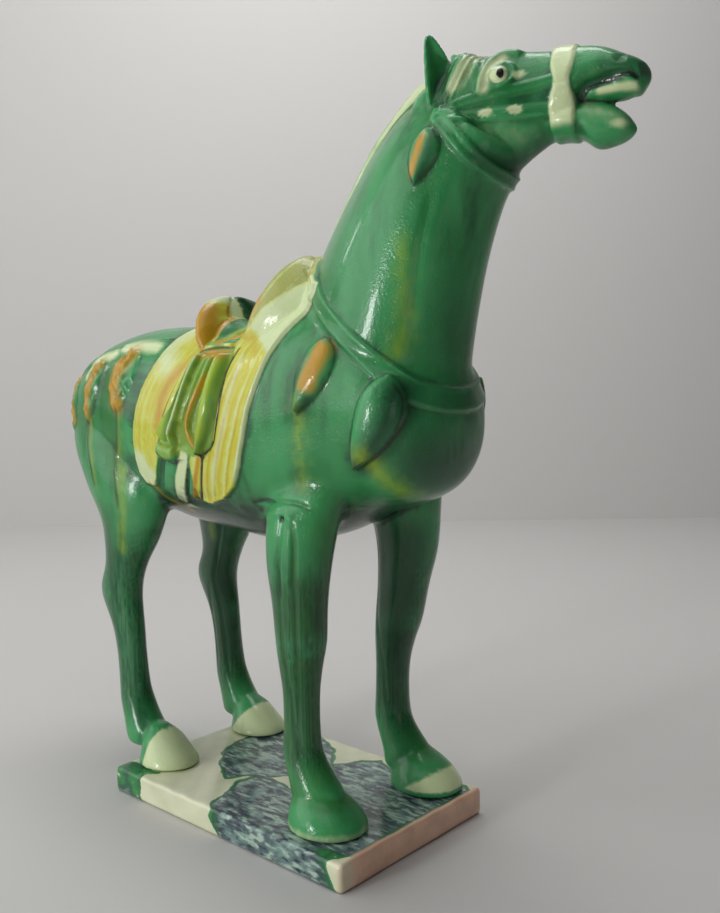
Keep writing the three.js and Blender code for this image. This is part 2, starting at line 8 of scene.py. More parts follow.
import bpy
import numpy as np
from mathutils import Matrix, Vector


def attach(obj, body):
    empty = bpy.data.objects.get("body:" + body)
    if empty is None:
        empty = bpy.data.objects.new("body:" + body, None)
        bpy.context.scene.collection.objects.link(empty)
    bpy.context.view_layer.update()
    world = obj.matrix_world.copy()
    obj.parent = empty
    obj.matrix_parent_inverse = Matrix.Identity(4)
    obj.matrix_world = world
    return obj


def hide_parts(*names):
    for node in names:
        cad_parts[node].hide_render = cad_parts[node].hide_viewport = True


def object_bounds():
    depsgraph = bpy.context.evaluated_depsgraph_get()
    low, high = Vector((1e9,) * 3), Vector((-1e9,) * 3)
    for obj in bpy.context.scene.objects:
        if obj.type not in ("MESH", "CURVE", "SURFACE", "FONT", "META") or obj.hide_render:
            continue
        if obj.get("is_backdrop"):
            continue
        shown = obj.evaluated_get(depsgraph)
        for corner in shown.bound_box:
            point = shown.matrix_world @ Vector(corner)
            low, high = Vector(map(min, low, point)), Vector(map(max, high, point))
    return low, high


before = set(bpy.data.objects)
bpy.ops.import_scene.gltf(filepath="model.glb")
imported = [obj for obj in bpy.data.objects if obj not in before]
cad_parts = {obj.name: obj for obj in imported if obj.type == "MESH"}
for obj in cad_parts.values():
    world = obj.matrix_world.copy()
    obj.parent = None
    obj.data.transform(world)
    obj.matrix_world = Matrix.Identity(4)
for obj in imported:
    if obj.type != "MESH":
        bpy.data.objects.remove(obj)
CAD_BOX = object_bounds()
MM = 0.001
MIDLINE = 4.5
GROUND = 17.3
print("frame box, mm:", [[round(v / MM, 1) for v in corner] for corner in CAD_BOX])

# %% [markdown]
# Every long form of the figure, such as trunk, neck, head and legs, is a tube whose size changes along its
# length. A round ball gives one row of points for each station, so each form starts as a ball, and its rows
# are drawn out to the stations with a smooth curve between them.

# %% A ball drawn out through stations


def deselect_all():
    bpy.ops.object.select_all(action="DESELECT")


def select_only(piece):
    deselect_all()
    piece.select_set(True)
    bpy.context.view_layer.objects.active = piece


def read_rows(points, field):
    flat = np.empty(len(points) * 3, dtype=np.float32)
    points.foreach_get(field, flat)
    return flat.reshape(-1, 3).astype(float)


def places_of(piece):
    return read_rows(piece.data.vertices, "co") / MM


def normals_of(piece):
    return read_rows(piece.data.vertex_normals, "vector")


def triangles_of(piece):
    return sum(len(face.vertices) - 2 for face in piece.data.polygons)


def move_to(piece, places):
    piece.data.vertices.foreach_set("co", (places * MM).astype(np.float32).ravel())
    piece.data.update()


def unit(rows):
    return rows / np.maximum(np.linalg.norm(rows, axis=-1, keepdims=True), 1e-9)


def smooth_path(values, count):
    values = np.array(values, float)
    padded = np.vstack([2 * values[0] - values[1], values, 2 * values[-1] - values[-2]])
    t = np.linspace(0, len(values) - 1, count)
    k = np.minimum(t.astype(int), len(values) - 2)
    f = (t - k)[:, None]
    a, b, c, d = (padded[k + i] for i in range(4))
    return 0.5 * (2 * b + (c - a) * f + (2 * a - 5 * b + 4 * c - d) * f**2 + (3 * b - a - 3 * c + d) * f**3)


def followed(path):
    """Share of the way, place and direction at each point of a path."""
    last = len(path) - 1
    for k, place in enumerate(path):
        yield k / last, place, unit(np.subtract(path[min(k + 1, last)], path[max(k - 1, 0)]))


def rounded_power(value, power):
    return np.sign(value) * np.abs(value) ** power


def outward_faces(piece):
    select_only(piece)
    bpy.ops.object.mode_set(mode="EDIT")
    bpy.ops.mesh.select_all(action="SELECT")
    bpy.ops.mesh.normals_make_consistent(inside=False)
    bpy.ops.object.mode_set(mode="OBJECT")


def drawn_out(name, stations, sides=40, rings=40, square=2, taper=0, crest=0, tips=(1, 1), hollow=0):
    """A ball whose rows follow the stations: place, up, side, reach up, reach down and half width."""
    deselect_all()
    bpy.ops.mesh.primitive_uv_sphere_add(segments=sides, ring_count=rings + 1, radius=1)
    form = bpy.context.object
    form.name = name
    ball = places_of(form) * MM
    table = smooth_path([np.concatenate([s[0], s[1], s[2], s[3:]]) for s in stations], rings)
    centre, up, side, radii = table[:, 0:3], unit(table[:, 3:6]), unit(table[:, 6:9]), table[:, 9:12]
    level = np.rint(np.arccos(np.clip(ball[:, 2], -1, 1)) / math.pi * (rings + 1)).astype(int)
    ring = np.clip(level - 1, 0, rings - 1)
    angle = np.arctan2(ball[:, 1], ball[:, 0])
    rise = rounded_power(np.cos(angle), 2 / square)
    reach = rounded_power(np.sin(angle), 2 / square)
    height = rise * np.where(rise > 0, radii[ring, 0] * (1 - 2.2 * hollow * (1 - reach**2)), radii[ring, 1])
    width = reach * radii[ring, 2] * (1 - taper * rise - crest * np.maximum(rise, 0) ** 2)
    moved = centre[ring] + up[ring] * height[:, None] + side[ring] * width[:, None]
    moved[level == 0] = centre[0] - tips[0] * unit(centre[1] - centre[0])
    moved[level == rings + 1] = centre[-1] + tips[1] * unit(centre[-1] - centre[-2])
    move_to(form, moved)
    outward_faces(form)
    return form


# %% [markdown]
# The real horse was pressed in a two-part mould, so trunk, neck and legs flow into each other with soft
# hollows. Boolean joins would leave hard seams there. A voxel remesh melts overlapping forms into one skin,
# and a few rounds of smoothing give the soft hollows back.

# %% Melting forms into one skin


def use(piece, name, kind, **settings):
    select_only(piece)
    modifier = piece.modifiers.new(name, kind)
    for key, value in settings.items():
        setattr(modifier, key, value)
    bpy.ops.object.modifier_apply(modifier=name)


def melt(name, forms, voxel, rounds):
    deselect_all()
    for form in forms:
        form.select_set(True)
    bpy.context.view_layer.objects.active = forms[0]
    bpy.ops.object.join()
    skin = forms[0]
    skin.name = name
    use(skin, "melt", "REMESH", mode="VOXEL", voxel_size=voxel * MM, adaptivity=0)
    if rounds:
        use(skin, "soften", "SMOOTH", factor=0.5, iterations=rounds)
    print(name, "points:", len(skin.data.vertices))
    return skin


X, Y, Z = np.eye(3)

# %% [markdown]
# The trunk is a barrel with a high croup and a deep chest. The neck stands on it as a tall arch, broad at
# the throat and narrow at the crest. Each row below is one station of the form.

# %% Trunk and neck
# x, top, underside, half width
TRUNK = [
    (-201, 263, 240, 13), (-196, 277, 230, 28), (-184, 290, 220, 41), (-162, 303.5, 208, 50),
    (-125, 311, 193, 54), (-85, 311, 180, 55), (-40, 306, 175, 55), (5, 310, 172, 55), (45, 320, 179, 54),
    (80, 316, 194, 51), (106, 301, 202, 48), (123, 285, 212, 38), (131, 268, 234, 19),
]
# crest x and z, throat x and z, half width, y
NECK = [
    (4, 296, 124, 222, 41, 4.5), (17, 320, 127, 256, 42, 4.5), (31, 338, 131.5, 290, 41, 4.5),
    (43, 357, 139.5, 324, 38, 4.5), (58, 378, 147.5, 349, 35, 5), (76, 401, 155, 366, 31.5, 6),
    (97, 420, 163, 376, 27.5, 7), (116, 427, 168, 388, 24.5, 7),
]


def barrel():
    stations = []
    for x, top, belly, half in TRUNK:
        reach = (top - belly) / 2
        stations.append(((x, MIDLINE, belly + reach), Z, Y, reach, reach, half))
    return drawn_out("trunk", stations, 64, 60, square=2.15, tips=(2, 3.5))


def arched_neck():
    stations = []
    for crest_x, crest_z, throat_x, throat_z, half, y in NECK:
        crest = np.array([crest_x, y, crest_z])
        throat = np.array([throat_x, y, throat_z])
        reach = np.linalg.norm(crest - throat) / 2
        stations.append(((crest + throat) / 2, unit(crest - throat), Y, reach, reach, half))
    return drawn_out("neck", stations, 56, 44, taper=0.28, crest=0.15)


body_forms = [barrel(), arched_neck()]

# %% [markdown]
# The legs stand square on the slab. The front pair are columns with a flat knee, and the hind pair sweep
# back to a hock. Rows hold height, place along the body, depth to the front and rear, half width and how far
# the leg tucks in under the body.

# %% Legs
FORELEG = [
    (240, 14, 26, 28, 10, 14), (214, 6, 26, 27, 15, 8), (192, 1, 24, 24, 18.5, 3),
    (168, 0, 21, 21, 17.5, 0), (144, 0, 17.5, 17.5, 15.5, 0), (122, 0, 16.5, 15, 14.8, 0),
    (108, 0, 13.5, 14, 12.8, 0), (92, 0, 11.5, 12, 10.8, 0), (72, 0, 11.5, 12, 10.4, 0),
    (56, 1, 12.5, 13.5, 11.5, 0), (44, 6, 17, 14, 13, 0), (35, 11, 19, 15.5, 14.5, 0),
    (26, 11, 16, 15, 13.5, 0),
]
HINDLEG = [
    (272, -26, 40, 42, 20, 16), (236, -22, 46, 50, 24, 11), (205, -8, 42, 42, 23, 6),
    (181, 1, 30, 30, 18, 2), (165, 0, 24, 24, 15.5, 1), (147, -6, 18.5, 18, 12.5, 0),
    (128, -11, 16.5, 20, 12.3, 0), (104, -5, 13.5, 14.5, 10, 0), (86, -2, 12, 12.5, 9.4, 0),
    (66, 1, 11, 13, 10.2, 0), (53, 4, 11.5, 14.5, 11.5, 0), (42, 8, 15, 14, 12.5, 0),
    (34, 13, 16, 17, 13.5, 0), (26, 13, 14, 16, 12.5, 0),
]
# height above the slab, place along the hoof, half length, half width
HOOF = [(0, 0, 22, 19.5), (5, -0.5, 21.5, 19), (11, -2.5, 18.5, 17), (17, -5.5, 14, 13.5), (22, -8, 8.5, 9)]
HIND_HOOF = [
    (0, 0, 22, 19.5), (5, -1, 20, 18), (11, -4, 16.5, 15.5), (17, -7, 12.5, 12.5), (23.5, -10.5, 5, 6),
]
# side, cannon, hoof, size of the hoof, lean above the knee, stations
LEGS = [
    (-1, 47.5, 67, 1.12, 0, FORELEG), (1, 48.5, 75.5, 1.08, 14, FORELEG),
    (-1, -119.5, -82, 1, 0, HINDLEG), (1, -113, -82, 1, 0, HINDLEG),
]
HALF_STANCE = 40.5
KNEE, LEAN_RISE = 77, 105
BODY_VOXEL, SKIN_VOXEL = 2.4, 1.0


def leg(side, cannon, lean, rows):
    stations = []
    for z, x, front, rear, half, inset in rows:
        t = min(max((z - KNEE) / LEAN_RISE, 0), 1)
        forward = cannon + x + lean * t * t * (3 - 2 * t)
        y = MIDLINE + side * (HALF_STANCE - inset)
        stations.append(((forward, y, z), X, Y, front, rear, half))
    return drawn_out("leg", stations, 32, 60, tips=(0, 5))


def hoof(side, place, size, rows):
    stations = []
    for z, x, length, half in rows:
        centre = (place + x * size, MIDLINE + side * HALF_STANCE, GROUND + z)
        stations.append((centre, X, Y, length * size, length * size, half * size))
    return drawn_out("hoof", stations, 36, 16, tips=(0, 2))


hooves = []
for side, cannon, place, size, lean, rows in LEGS:
    body_forms.append(leg(side, cannon, lean, rows))
    hooves.append(hoof(side, place, size, HOOF if place > 0 else HIND_HOOF))

# x, z, half width, half depth
TAIL = [(-182, 292, 7, 6), (-197, 285, 9, 8), (-204, 268, 10, 9), (-205, 251, 8.5, 8), (-201, 237, 4.5, 5)]


def tail():
    stations = []
    path = [(x, MIDLINE, z) for x, z, _, _ in TAIL]
    for (_, place, line), (_, _, half, deep) in zip(followed(path), TAIL):
        stations.append((place, (-line[2], 0, line[0]), Y, deep, deep, half))
    return drawn_out("tail", stations, 28, 30)


body = melt("body", body_forms, BODY_VOXEL, 10)

# %% [markdown]
# The head lies along its own axis, level and turned a little to the left. Places on it are given along the
# axis, across to the horse's right, and in height from the poll. Upper head, lower jaw and the lip that
# shows in the open mouth are three tubes.

# %% Head
POLL = np.array([120, 4.5, 425])
TURN = math.radians(14)
AHEAD = np.array([math.cos(TURN), math.sin(TURN), 0])
ASIDE = np.array([-math.sin(TURN), math.cos(TURN), 0])
# place along the head, top, underside, half width, for all three
SKULL = [
    (-14, -5, -24, 8), (-7, 2, -32, 15), (8, 9, -44, 21), (25, 12.5, -48, 21.5), (40, 14, -48, 20),
    (51, 12.5, -41, 16.5), (62, 11, -34.5, 14), (72, 10.5, -32, 13), (80, 10.5, -18, 13), (90, 8, -14, 13),
    (99, 3.5, -15, 12.5), (105.5, 0.3, -17.5, 11), (110, -3.5, -11.5, 8),
]
JAW = [
    (56, -18, -33, 9), (68, -19, -33, 12), (78, -17.5, -35, 12), (86, -18, -40.5, 11.5),
    (94, -20.5, -40, 10.5), (100, -25, -38, 8.5), (103.5, -29.5, -35.5, 4.5),
]
INNER_LIP = [(76, -8, -19, 9), (88, -8, -18, 9), (97, -8, -18.5, 8.5), (102, -9, -18, 6)]


def on_head(s, right, height, side=-1):
    return POLL + s * AHEAD + side * right * ASIDE + height * Z


def head_form(name, rows, rings=40, tips=(0, 2)):
    stations = []
    for s, top, low, half in rows:
        reach = (top - low) / 2
        stations.append((on_head(s, 0, low + reach), Z, ASIDE, reach, reach, half))
    return drawn_out(name, stations, 40, rings, tips=tips)


head_forms = [head_form("skull", SKULL, 64), head_form("jaw", JAW), head_form("lip", INNER_LIP, 24)]
print("head forms:", [form.name for form in head_forms])

# %% [markdown]
# The ears stand up as long leaves with a hollow front. The forelock is parted into thick locks that fall
# between ear and eye. The eyes bulge as round balls. All are small forms melted into the head.

# %% Ears, forelock and eyes
EAR = {"line": [(7, 15, -16), (7.5, 17, 4), (2, 17.5, 24.6)], "half": 8.5, "thick": 4.6}
# line of a lock, half width, thickness
LOCKS = [
    ([(24, 1, 12.5), (19, 11, 8), (13, 18.5, -10)], 7.0, 5.8),
    ([(28, 1, 13), (27, 13, 5), (26.5, 18.5, -8)], 3.2, 3.6),
    ([(14, 0, 10), (10, 7, 9), (8, 12, 2)], 4.5, 4.0),
]
EYE = {"at": (40.2, 16.6, -1.8), "radius": 4.4}


def ear(side):
    line = smooth_path([on_head(*place, side) for place in EAR["line"]], 9)
    outward = unit(ASIDE * side * 0.75 + AHEAD * 0.8)
    stations = []
    for t, centre, tangent in followed(line):
        width = EAR["half"] * max(math.sin(math.pi * (0.2 + 0.74 * t)), 0.05) ** 0.8
        thick = EAR["thick"] * (1 - 0.5 * t)
        stations.append((centre, outward, unit(np.cross(tangent, outward)), thick, thick, width))
    return drawn_out("ear", stations, 32, 36, tips=(0, 1.2), hollow=0.6)


def lock(line, half, thick, side):
    path = smooth_path([on_head(*place, side) for place in line], 9)
    outward = unit(ASIDE * side + Z * 0.7)
    stations = []
    for t, centre, tangent in followed(path):
        swell = max(math.sin(math.pi * (0.12 + 0.8 * t)), 0.05) ** 0.6
        across = unit(np.cross(tangent, outward))
        stations.append((centre, outward, across, thick * swell, thick, half * swell))
    return drawn_out("lock", stations, 24, 30)


def eyeball(side):
    deselect_all()
    s, right, height = EYE["at"]
    centre = on_head(s, right, height, side) * MM
    radius = EYE["radius"] * MM
    bpy.ops.mesh.primitive_uv_sphere_add(segments=32, ring_count=20, radius=radius, location=centre)
    ball = bpy.context.object
    bpy.ops.object.transform_apply(location=True)
    return ball


for side in (-1, 1):
    head_forms.append(ear(side))
    head_forms.append(eyeball(side))
    for line, half, thick in LOCKS:
        head_forms.append(lock(line, half, thick, side))
print("with ears, eyes and locks:", len(head_forms))

# %% [markdown]
# The saddle has a tall rounded pommel, a lower cantle and a dished seat between them. Pommel and cantle are
# arched plates, so their stations follow an arch across the back.

# %% Saddle and mane
POMMEL = {
    "rimTop": (22, 346.5), "rimFoot": (-3, 300), "baseTop": (44, 322), "baseFoot": (5, 296), "span": 31,
}
CANTLE = {
    "rimTop": (-53, 328), "rimFoot": (-46, 302), "baseTop": (-42, 306), "baseFoot": (-40, 292), "span": 34,
}
SEAT = {
    "rear": -48, "length": 88, "middle": 278, "up": 30, "down": 12, "half": 33, "rear_rise": 7,
    "front_rise": 18,
}


def arched_plate(name, plate, half=3.4):
    stations = []
    for angle in np.linspace(-math.pi / 2, math.pi / 2, 13):
        lift = math.cos(angle)
        reach_out = plate["span"] * math.sin(angle)
        ends = []
        for foot, top, inset in (("rimFoot", "rimTop", 1), ("baseFoot", "baseTop", 0.97)):
            low, high = np.array(plate[foot], float), np.array(plate[top], float)
            x = low[0] + (high[0] - low[0]) * lift
            z = low[1] + (high[1] - low[1]) * max(lift, 0) ** 0.85
            ends.append(np.array([x, MIDLINE + reach_out * inset, z]))
        rim, base = ends
        reach = max(np.linalg.norm(rim - base) / 2, half)
        tangent = np.array([0, lift, -math.sin(angle)])
        across = unit(np.cross(tangent, rim - base))
        stations.append(((rim + base) / 2, unit(rim - base), across, reach, reach + 3, half))
    return drawn_out(name, stations, 28, 50, square=2.3)


def seat():
    stations = []
    for t in np.linspace(0, 1, 9):
        rear = SEAT["rear_rise"] * max(1 - 2 * t, 0) ** 2
        front = SEAT["front_rise"] * max(2 * t - 1, 0) ** 2
        centre = (SEAT["rear"] + SEAT["length"] * t, MIDLINE, SEAT["middle"])
        half = SEAT["half"] * (1 - 0.25 * t)
        stations.append((centre, Z, Y, SEAT["up"] + rear + front, SEAT["down"], half))
    return drawn_out("seat", stations, 40, 30, square=2.4)


MANE = [
    (22, 4.5, 327), (31, 4.5, 338), (43, 4.5, 357), (58, 4.5, 378), (76, 4.5, 401), (94, 4, 417),
    (106, 2.5, 425), (114, 1, 430),
]


def mane():
    stations = []
    for t, centre, tangent in followed(smooth_path(MANE, 20)):
        up = np.array([-tangent[2], 0, tangent[0]])
        fade = max(math.sin(math.pi * t), 0.02) ** 0.2
        stations.append((centre, up, Y, 4.4 * fade, 6, 3.4 * fade))
    return drawn_out("mane", stations, 20, 110)


forms = [body] + head_forms + hooves + [tail(), seat(), mane()]
forms += [arched_plate("pommel", POMMEL), arched_plate("cantle", CANTLE)]
horse = melt("glazed_horse", forms, SKIN_VOXEL, 3)

# %% [markdown]
# Harness, cloth, leaves and creases are low relief on that skin. They are drawn as lines and outlines seen
# from the side, (x, z), and pushed out along the skin. The distance of each point to a line tells how far it
# goes. Both flanks get the same relief, as from a mirrored mould.

# %% Distances to lines and outlines


def near_line(points, line):
    line = np.array(line, float)
    best = np.full(len(points), 1e9)
    along = np.zeros(len(points))
    lengths = np.linalg.norm(np.diff(line, axis=0), axis=1)
    before = np.concatenate([[0], np.cumsum(lengths)])
    for k, length in enumerate(lengths):
        direction = (line[k + 1] - line[k]) / length
        t = np.clip((points - line[k]) @ direction, 0, length)
        gap = np.linalg.norm(points - line[k] - t[:, None] * direction, axis=1)
        closer = gap < best
        best[closer] = gap[closer]
        along[closer] = (before[k] + t[closer]) / before[-1]
    return best, along


def inside(points, outline):
    outline = np.array(outline, float)
    gap, _ = near_line(points, np.vstack([outline, outline[:1]]))
    odd = np.zeros(len(points), bool)
    for a, b in zip(outline, np.roll(outline, -1, axis=0)):
        crosses = (a[1] > points[:, 1]) != (b[1] > points[:, 1])
        if a[1] != b[1]:
            at = a[0] + (points[:, 1] - a[1]) * (b[0] - a[0]) / (b[1] - a[1])
            odd ^= crosses & (points[:, 0] < at)
    return np.where(odd, gap, -gap)


def ease(value, low, high):
    t = np.clip((value - low) / (high - low), 0, 1)
    return t * t * (3 - 2 * t)


def soft_edge(depth, width):
    """0 to 1 over a soft edge of this width, one half where depth is 0."""
    return np.clip(0.5 + depth / width, 0, 1)


def brushed(skin_places, line, half, soft=2.0):
    gap, _ = near_line(skin_places, smooth_path(line, 14) if len(line) > 2 else line)
    return soft_edge(half - gap, 2 * soft)


class Skin:
    """Places of the horse's points, on the flank and on the head, worked out afresh after each remesh."""

    def __init__(self, piece):
        self.piece = piece
        self.at = places_of(piece)
        self.facing = normals_of(piece)
        self.flank = self.at[:, [0, 2]]
        self.out = np.abs(self.at[:, 1] - MIDLINE)
        from_poll = self.at - POLL
        self.s = from_poll @ AHEAD
        self.across = from_poll @ ASIDE
        self.up = from_poll[:, 2]
        self.cheek = np.stack([self.s, self.up], axis=1)
        self.sideways = np.abs(self.facing @ ASIDE)
        self.on_head = ease(self.s, -10, -4) * ease(self.up, -62, -54)
        self.right_side = ease(MIDLINE - self.at[:, 1], -3, 3)

    def push(self, heights):
        self.at = self.at + self.facing * heights[:, None]
        move_to(self.piece, self.at)


# %% [markdown]
# The saddlecloth is a thick leather sheet with a rolled edge. A cover is gathered over it in folds that run
# down to a knot, and a fringe of cloth strips hangs below. The folds are rounded ridges, and where two meet
# the higher one wins, which leaves a sharp valley as in the clay.

# %% Saddlecloth, gathered cover and fringe
CLOTH_REAR = [
    (-67, 318), (-71, 304), (-75, 292), (-78, 281), (-83, 268), (-87, 255), (-90, 240), (-91, 226),
    (-92, 214),
]
CLOTH = CLOTH_REAR + [
    (-88, 207), (-79, 205.5), (-72, 211), (-65, 222), (-60, 229), (-34, 229), (-33, 199), (-22, 197.5),
    (-7, 202), (5, 210), (13, 223), (19, 240), (23, 256), (28, 270), (33, 286), (39, 298), (47, 310),
    (55, 322), (56, 327), (45, 333), (36, 341), (30, 352), (30, 362), (-67, 362),
]
# line from top to foot, half width at top, middle and foot, rise
FOLDS = [
    ([(-38, 289), (-41.5, 272), (-50.5, 252), (-58, 237)], (3.2, 4.6, 6.2), 4.2),
    ([(-33, 289), (-36, 266), (-40.5, 252), (-46, 240.5), (-41.5, 233)], (2.0, 2.8, 2.4), 6.2),
    ([(-28, 288), (-30, 270), (-35, 255), (-37, 246)], (2.4, 2.8, 1.6), 2.6),
    ([(-21, 289), (-21.5, 272), (-27, 257), (-30, 246), (-27, 238), (-21, 231)], (2.8, 2.4, 1.6), 4.2),
    ([(-9.5, 289), (-10.5, 268), (-12.5, 251), (-16.5, 237), (-21, 227.5)], (4.6, 6.2, 1.2), 6.8),
    ([(-61, 232), (-52, 229), (-43, 229)], (5.0, 5.2, 4.0), 5.4),
    ([(-36, 292), (-22, 293.5), (-6, 293)], (2.6, 3.0, 2.6), 3.6),
]
COVER = [
    (-37, 292), (-22, 295), (-5, 293), (-2, 286), (-3.5, 264), (-5.5, 250), (-9, 234), (-18, 227.5),
    (-31, 227), (-41, 227), (-54, 223), (-65, 225), (-64, 233), (-56, 246), (-45, 258), (-40, 272),
]
STRIPS = [
    ([(-50, 226), (-57, 214), (-66, 200)], 6.0, 2.2),
    ([(-35, 229), (-43, 216), (-48, 209), (-55, 196.5)], 5.4, 2.4),
    ([(-26, 231), (-31, 218), (-36, 209), (-42, 200)], 3.2, 2.2),
]
FRONT_PANEL_EDGE = [
    (-1, 292), (-3, 280), (-3, 264), (-4.5, 250), (-8, 235), (-18, 228), (-23, 217), (-31, 199),
]
PANEL_FRONT = [
    (56, 326), (47, 310), (39, 298), (33, 286), (28, 270), (23, 256), (19, 240), (12, 221), (1, 196),
]


def strands(across, along, seed):
    """Fine lines along a fall of cloth or hair, from -1 to 1: waves of three widths that sway a little."""
    total = 0.0
    for k, pitch in enumerate((9.3, 5.3, 3.4)):
        sway = 0.6 * np.sin(along * (0.045 + 0.02 * k) + seed + 2 * k)
        total = total + np.sin(2 * math.pi * across / pitch + sway + seed * (k + 1))
    return total / 2.2


def bell(gap, half):
    return np.exp(-(gap / half) ** 2)


def rounded_rise(gap, half):
    return np.sqrt(np.clip(1 - (gap / half) ** 2, 0, 1))


def cloth_relief(skin):
    edge = inside(skin.flank, CLOTH)
    above_legs = ease(skin.flank[:, 1], 192, 196)
    height = 2.0 * ease(edge, -0.6, 0.9) + 0.9 * bell(edge - 1.6, 1.1)
    for line, half, rise in STRIPS:
        gap, t = near_line(skin.flank, line)
        strip = rise * ease(half - gap, -0.2, 1.4) * ease(1 - t, 0, 0.05)
        height = np.maximum(height, strip)
    for line, widths, rise in FOLDS:
        gap, t = near_line(skin.flank, smooth_path(line, 12))
        half = np.interp(t, [0, 0.55, 1], widths)
        round_end = np.minimum(ease(t, 0, 0.08), ease(1 - t, 0, 0.06)) ** 0.5
        height = np.maximum(height, (1.6 + rise * rounded_rise(gap, half) * round_end) * (gap < half))
    front, rear = near_line(skin.flank, PANEL_FRONT)[0], near_line(skin.flank, CLOTH_REAR)[0]
    plain = (edge > 2.5) * (inside(skin.flank, COVER) < -1)
    height = height + 0.13 * strands(np.minimum(front, rear), skin.flank[:, 1], 1.0) * plain
    gap, _ = near_line(skin.flank, FRONT_PANEL_EDGE)
    height -= 1.3 * bell(gap, 0.9) * (edge > 0)
    return height * above_legs * (np.abs(skin.facing[:, 1]) > 0.05)


# %% [markdown]
# Leaf pendants hang from the harness on croup, shoulder, chest and neck. Some are smooth almonds with a
# thin rim, and those on the croup are bunched like berries. Each is a raised almond along a line from stalk
# to tip.

# %% Leaf pendants and straps
# top, tip, half width, rise, bunched or not, and for some how far the near one bows forward
LEAVES = [
    ((77.5, 294), (61, 254.5), 11.0, 5.2, 0), ((115, 273), (96, 225), 11.5, 5.6, 0, 5.5),
    ((-109, 296), (-110, 253), 14.5, 3.4, 1), ((-143, 290), (-148.5, 246), 9.5, 3.4, 1),
    ((-180, 277), (-178, 240), 7.0, 2.8, 1),
]
NECK_LEAF = ((133.5, 399), (128.5, 371.5), 8.4, 3.8, 0)
BREAST_STRAP = [(36, 340), (58, 319), (77, 304), (97, 288), (113, 275), (124, 266), (134, 259)]
STEMS = [
    [(-110, 256), (-111, 241), (-115.5, 224.5), (-113, 207), (-110, 190)],
    [(-148.5, 248), (-147, 233), (-142, 218), (-137, 203)],
]
CRUPPER = [(-74, 300), (-105, 300), (-143, 295), (-178, 281), (-196, 262)]


def leaf_shape(skin, top, tip, half, bow=0.0):
    middle = ((top[0] + tip[0]) / 2 + bow, (top[1] + tip[1]) / 2)
    gap, t = near_line(skin.flank, smooth_path([top, middle, tip], 9))
    if bow:
        straight, _ = near_line(skin.flank, [top, tip])
        gap = np.where(skin.at[:, 1] < MIDLINE, gap, straight + 2.0)
    return gap, half * np.maximum(np.sin(np.pi * np.clip(t, 0, 1) ** 0.72), 0.02) ** 0.75


def leaf_relief(skin, top, tip, half, rise, bunched, bow=0.0):
    gap, width = leaf_shape(skin, top, tip, half, bow)
    body = rise * rounded_rise(gap, width)
    if bunched:
        x, z = skin.flank[:, 0], skin.flank[:, 1]
        crinkle = np.sin(0.66 * x + 0.30 * z + 1.9 * np.sin(0.24 * z + top[0]))
        crinkle = crinkle + np.sin(0.50 * z - 0.42 * x + 1.8 * np.sin(0.31 * x + top[0]))
        crinkle = crinkle + 0.8 * np.sin(0.95 * x + 1.3 * np.sin(0.6 * z)) * np.sin(0.9 * z + 0.35 * x)
        return body * (0.76 + 0.2 * crinkle)
    rim = 0.7 * bell(gap - width, 0.8)
    return np.maximum(body, rim)


def strap_relief(gap, half, rise):
    bead = 0.8 * bell(gap - half + 0.9, 0.8)
    return rise * ease(half - gap, -0.5, 0.8) + bead


def harness_relief(skin):
    height = np.zeros(len(skin.at))
    for leaf in LEAVES:
        height = np.maximum(height, leaf_relief(skin, *leaf))
    gap, _ = near_line(skin.flank, smooth_path(BREAST_STRAP, 16))
    height = np.maximum(height, strap_relief(gap, 4.8, 1.0))
    gap, _ = near_line(skin.flank, CRUPPER)
    height = np.maximum(height, strap_relief(gap, 2.2, 0.5) * (skin.out < 46))
    height *= ease(skin.flank[:, 1], 192, 200)
    for stem in STEMS:
        gap, t = near_line(skin.flank, smooth_path(stem, 14))
        height = np.maximum(height, bell(gap, 1.4) * ease(1 - t, 0, 0.5) * (skin.out > 20))
    height *= 1 - skin.on_head
    return np.maximum(height, leaf_relief(skin, *NECK_LEAF) * ease(skin.out, 6, 12))


# %% [markdown]
# The bridle is flat bands on the head: two cheek straps side by side, a throat strap and a broad noseband
# that narrows at the sides. The face has heavy brow ridges round the eyes and a flared upper lip.

# %% Bridle and face
CHEEK_STRAPS = [
    ([(9, -17), (25, -13), (41, -11), (58, -8.5), (67, -7)], 2.6, 0.8),
    ([(9, -19), (24, -21.5), (40, -21.5), (56, -21), (67, -21)], 2.8, 0.8),
]
THROAT_STRAP = ([(10, -20), (20, -31), (28, -41), (37, -49), (52, -58)], 3.9, 1.1)
LIP_LINE = [(79, -15.5), (83, -11.5), (90, -10), (98, -8.5), (103, -8), (106.5, -10)]
BROWS = [
    ([(30.5, -9), (31.5, 0), (34.5, 6.5), (40, 10.5), (47, 10)], 2.0, 2.4),
    ([(34.5, -8.5), (40, -8.2), (46, -5.5)], 1.2, 1.2),
]


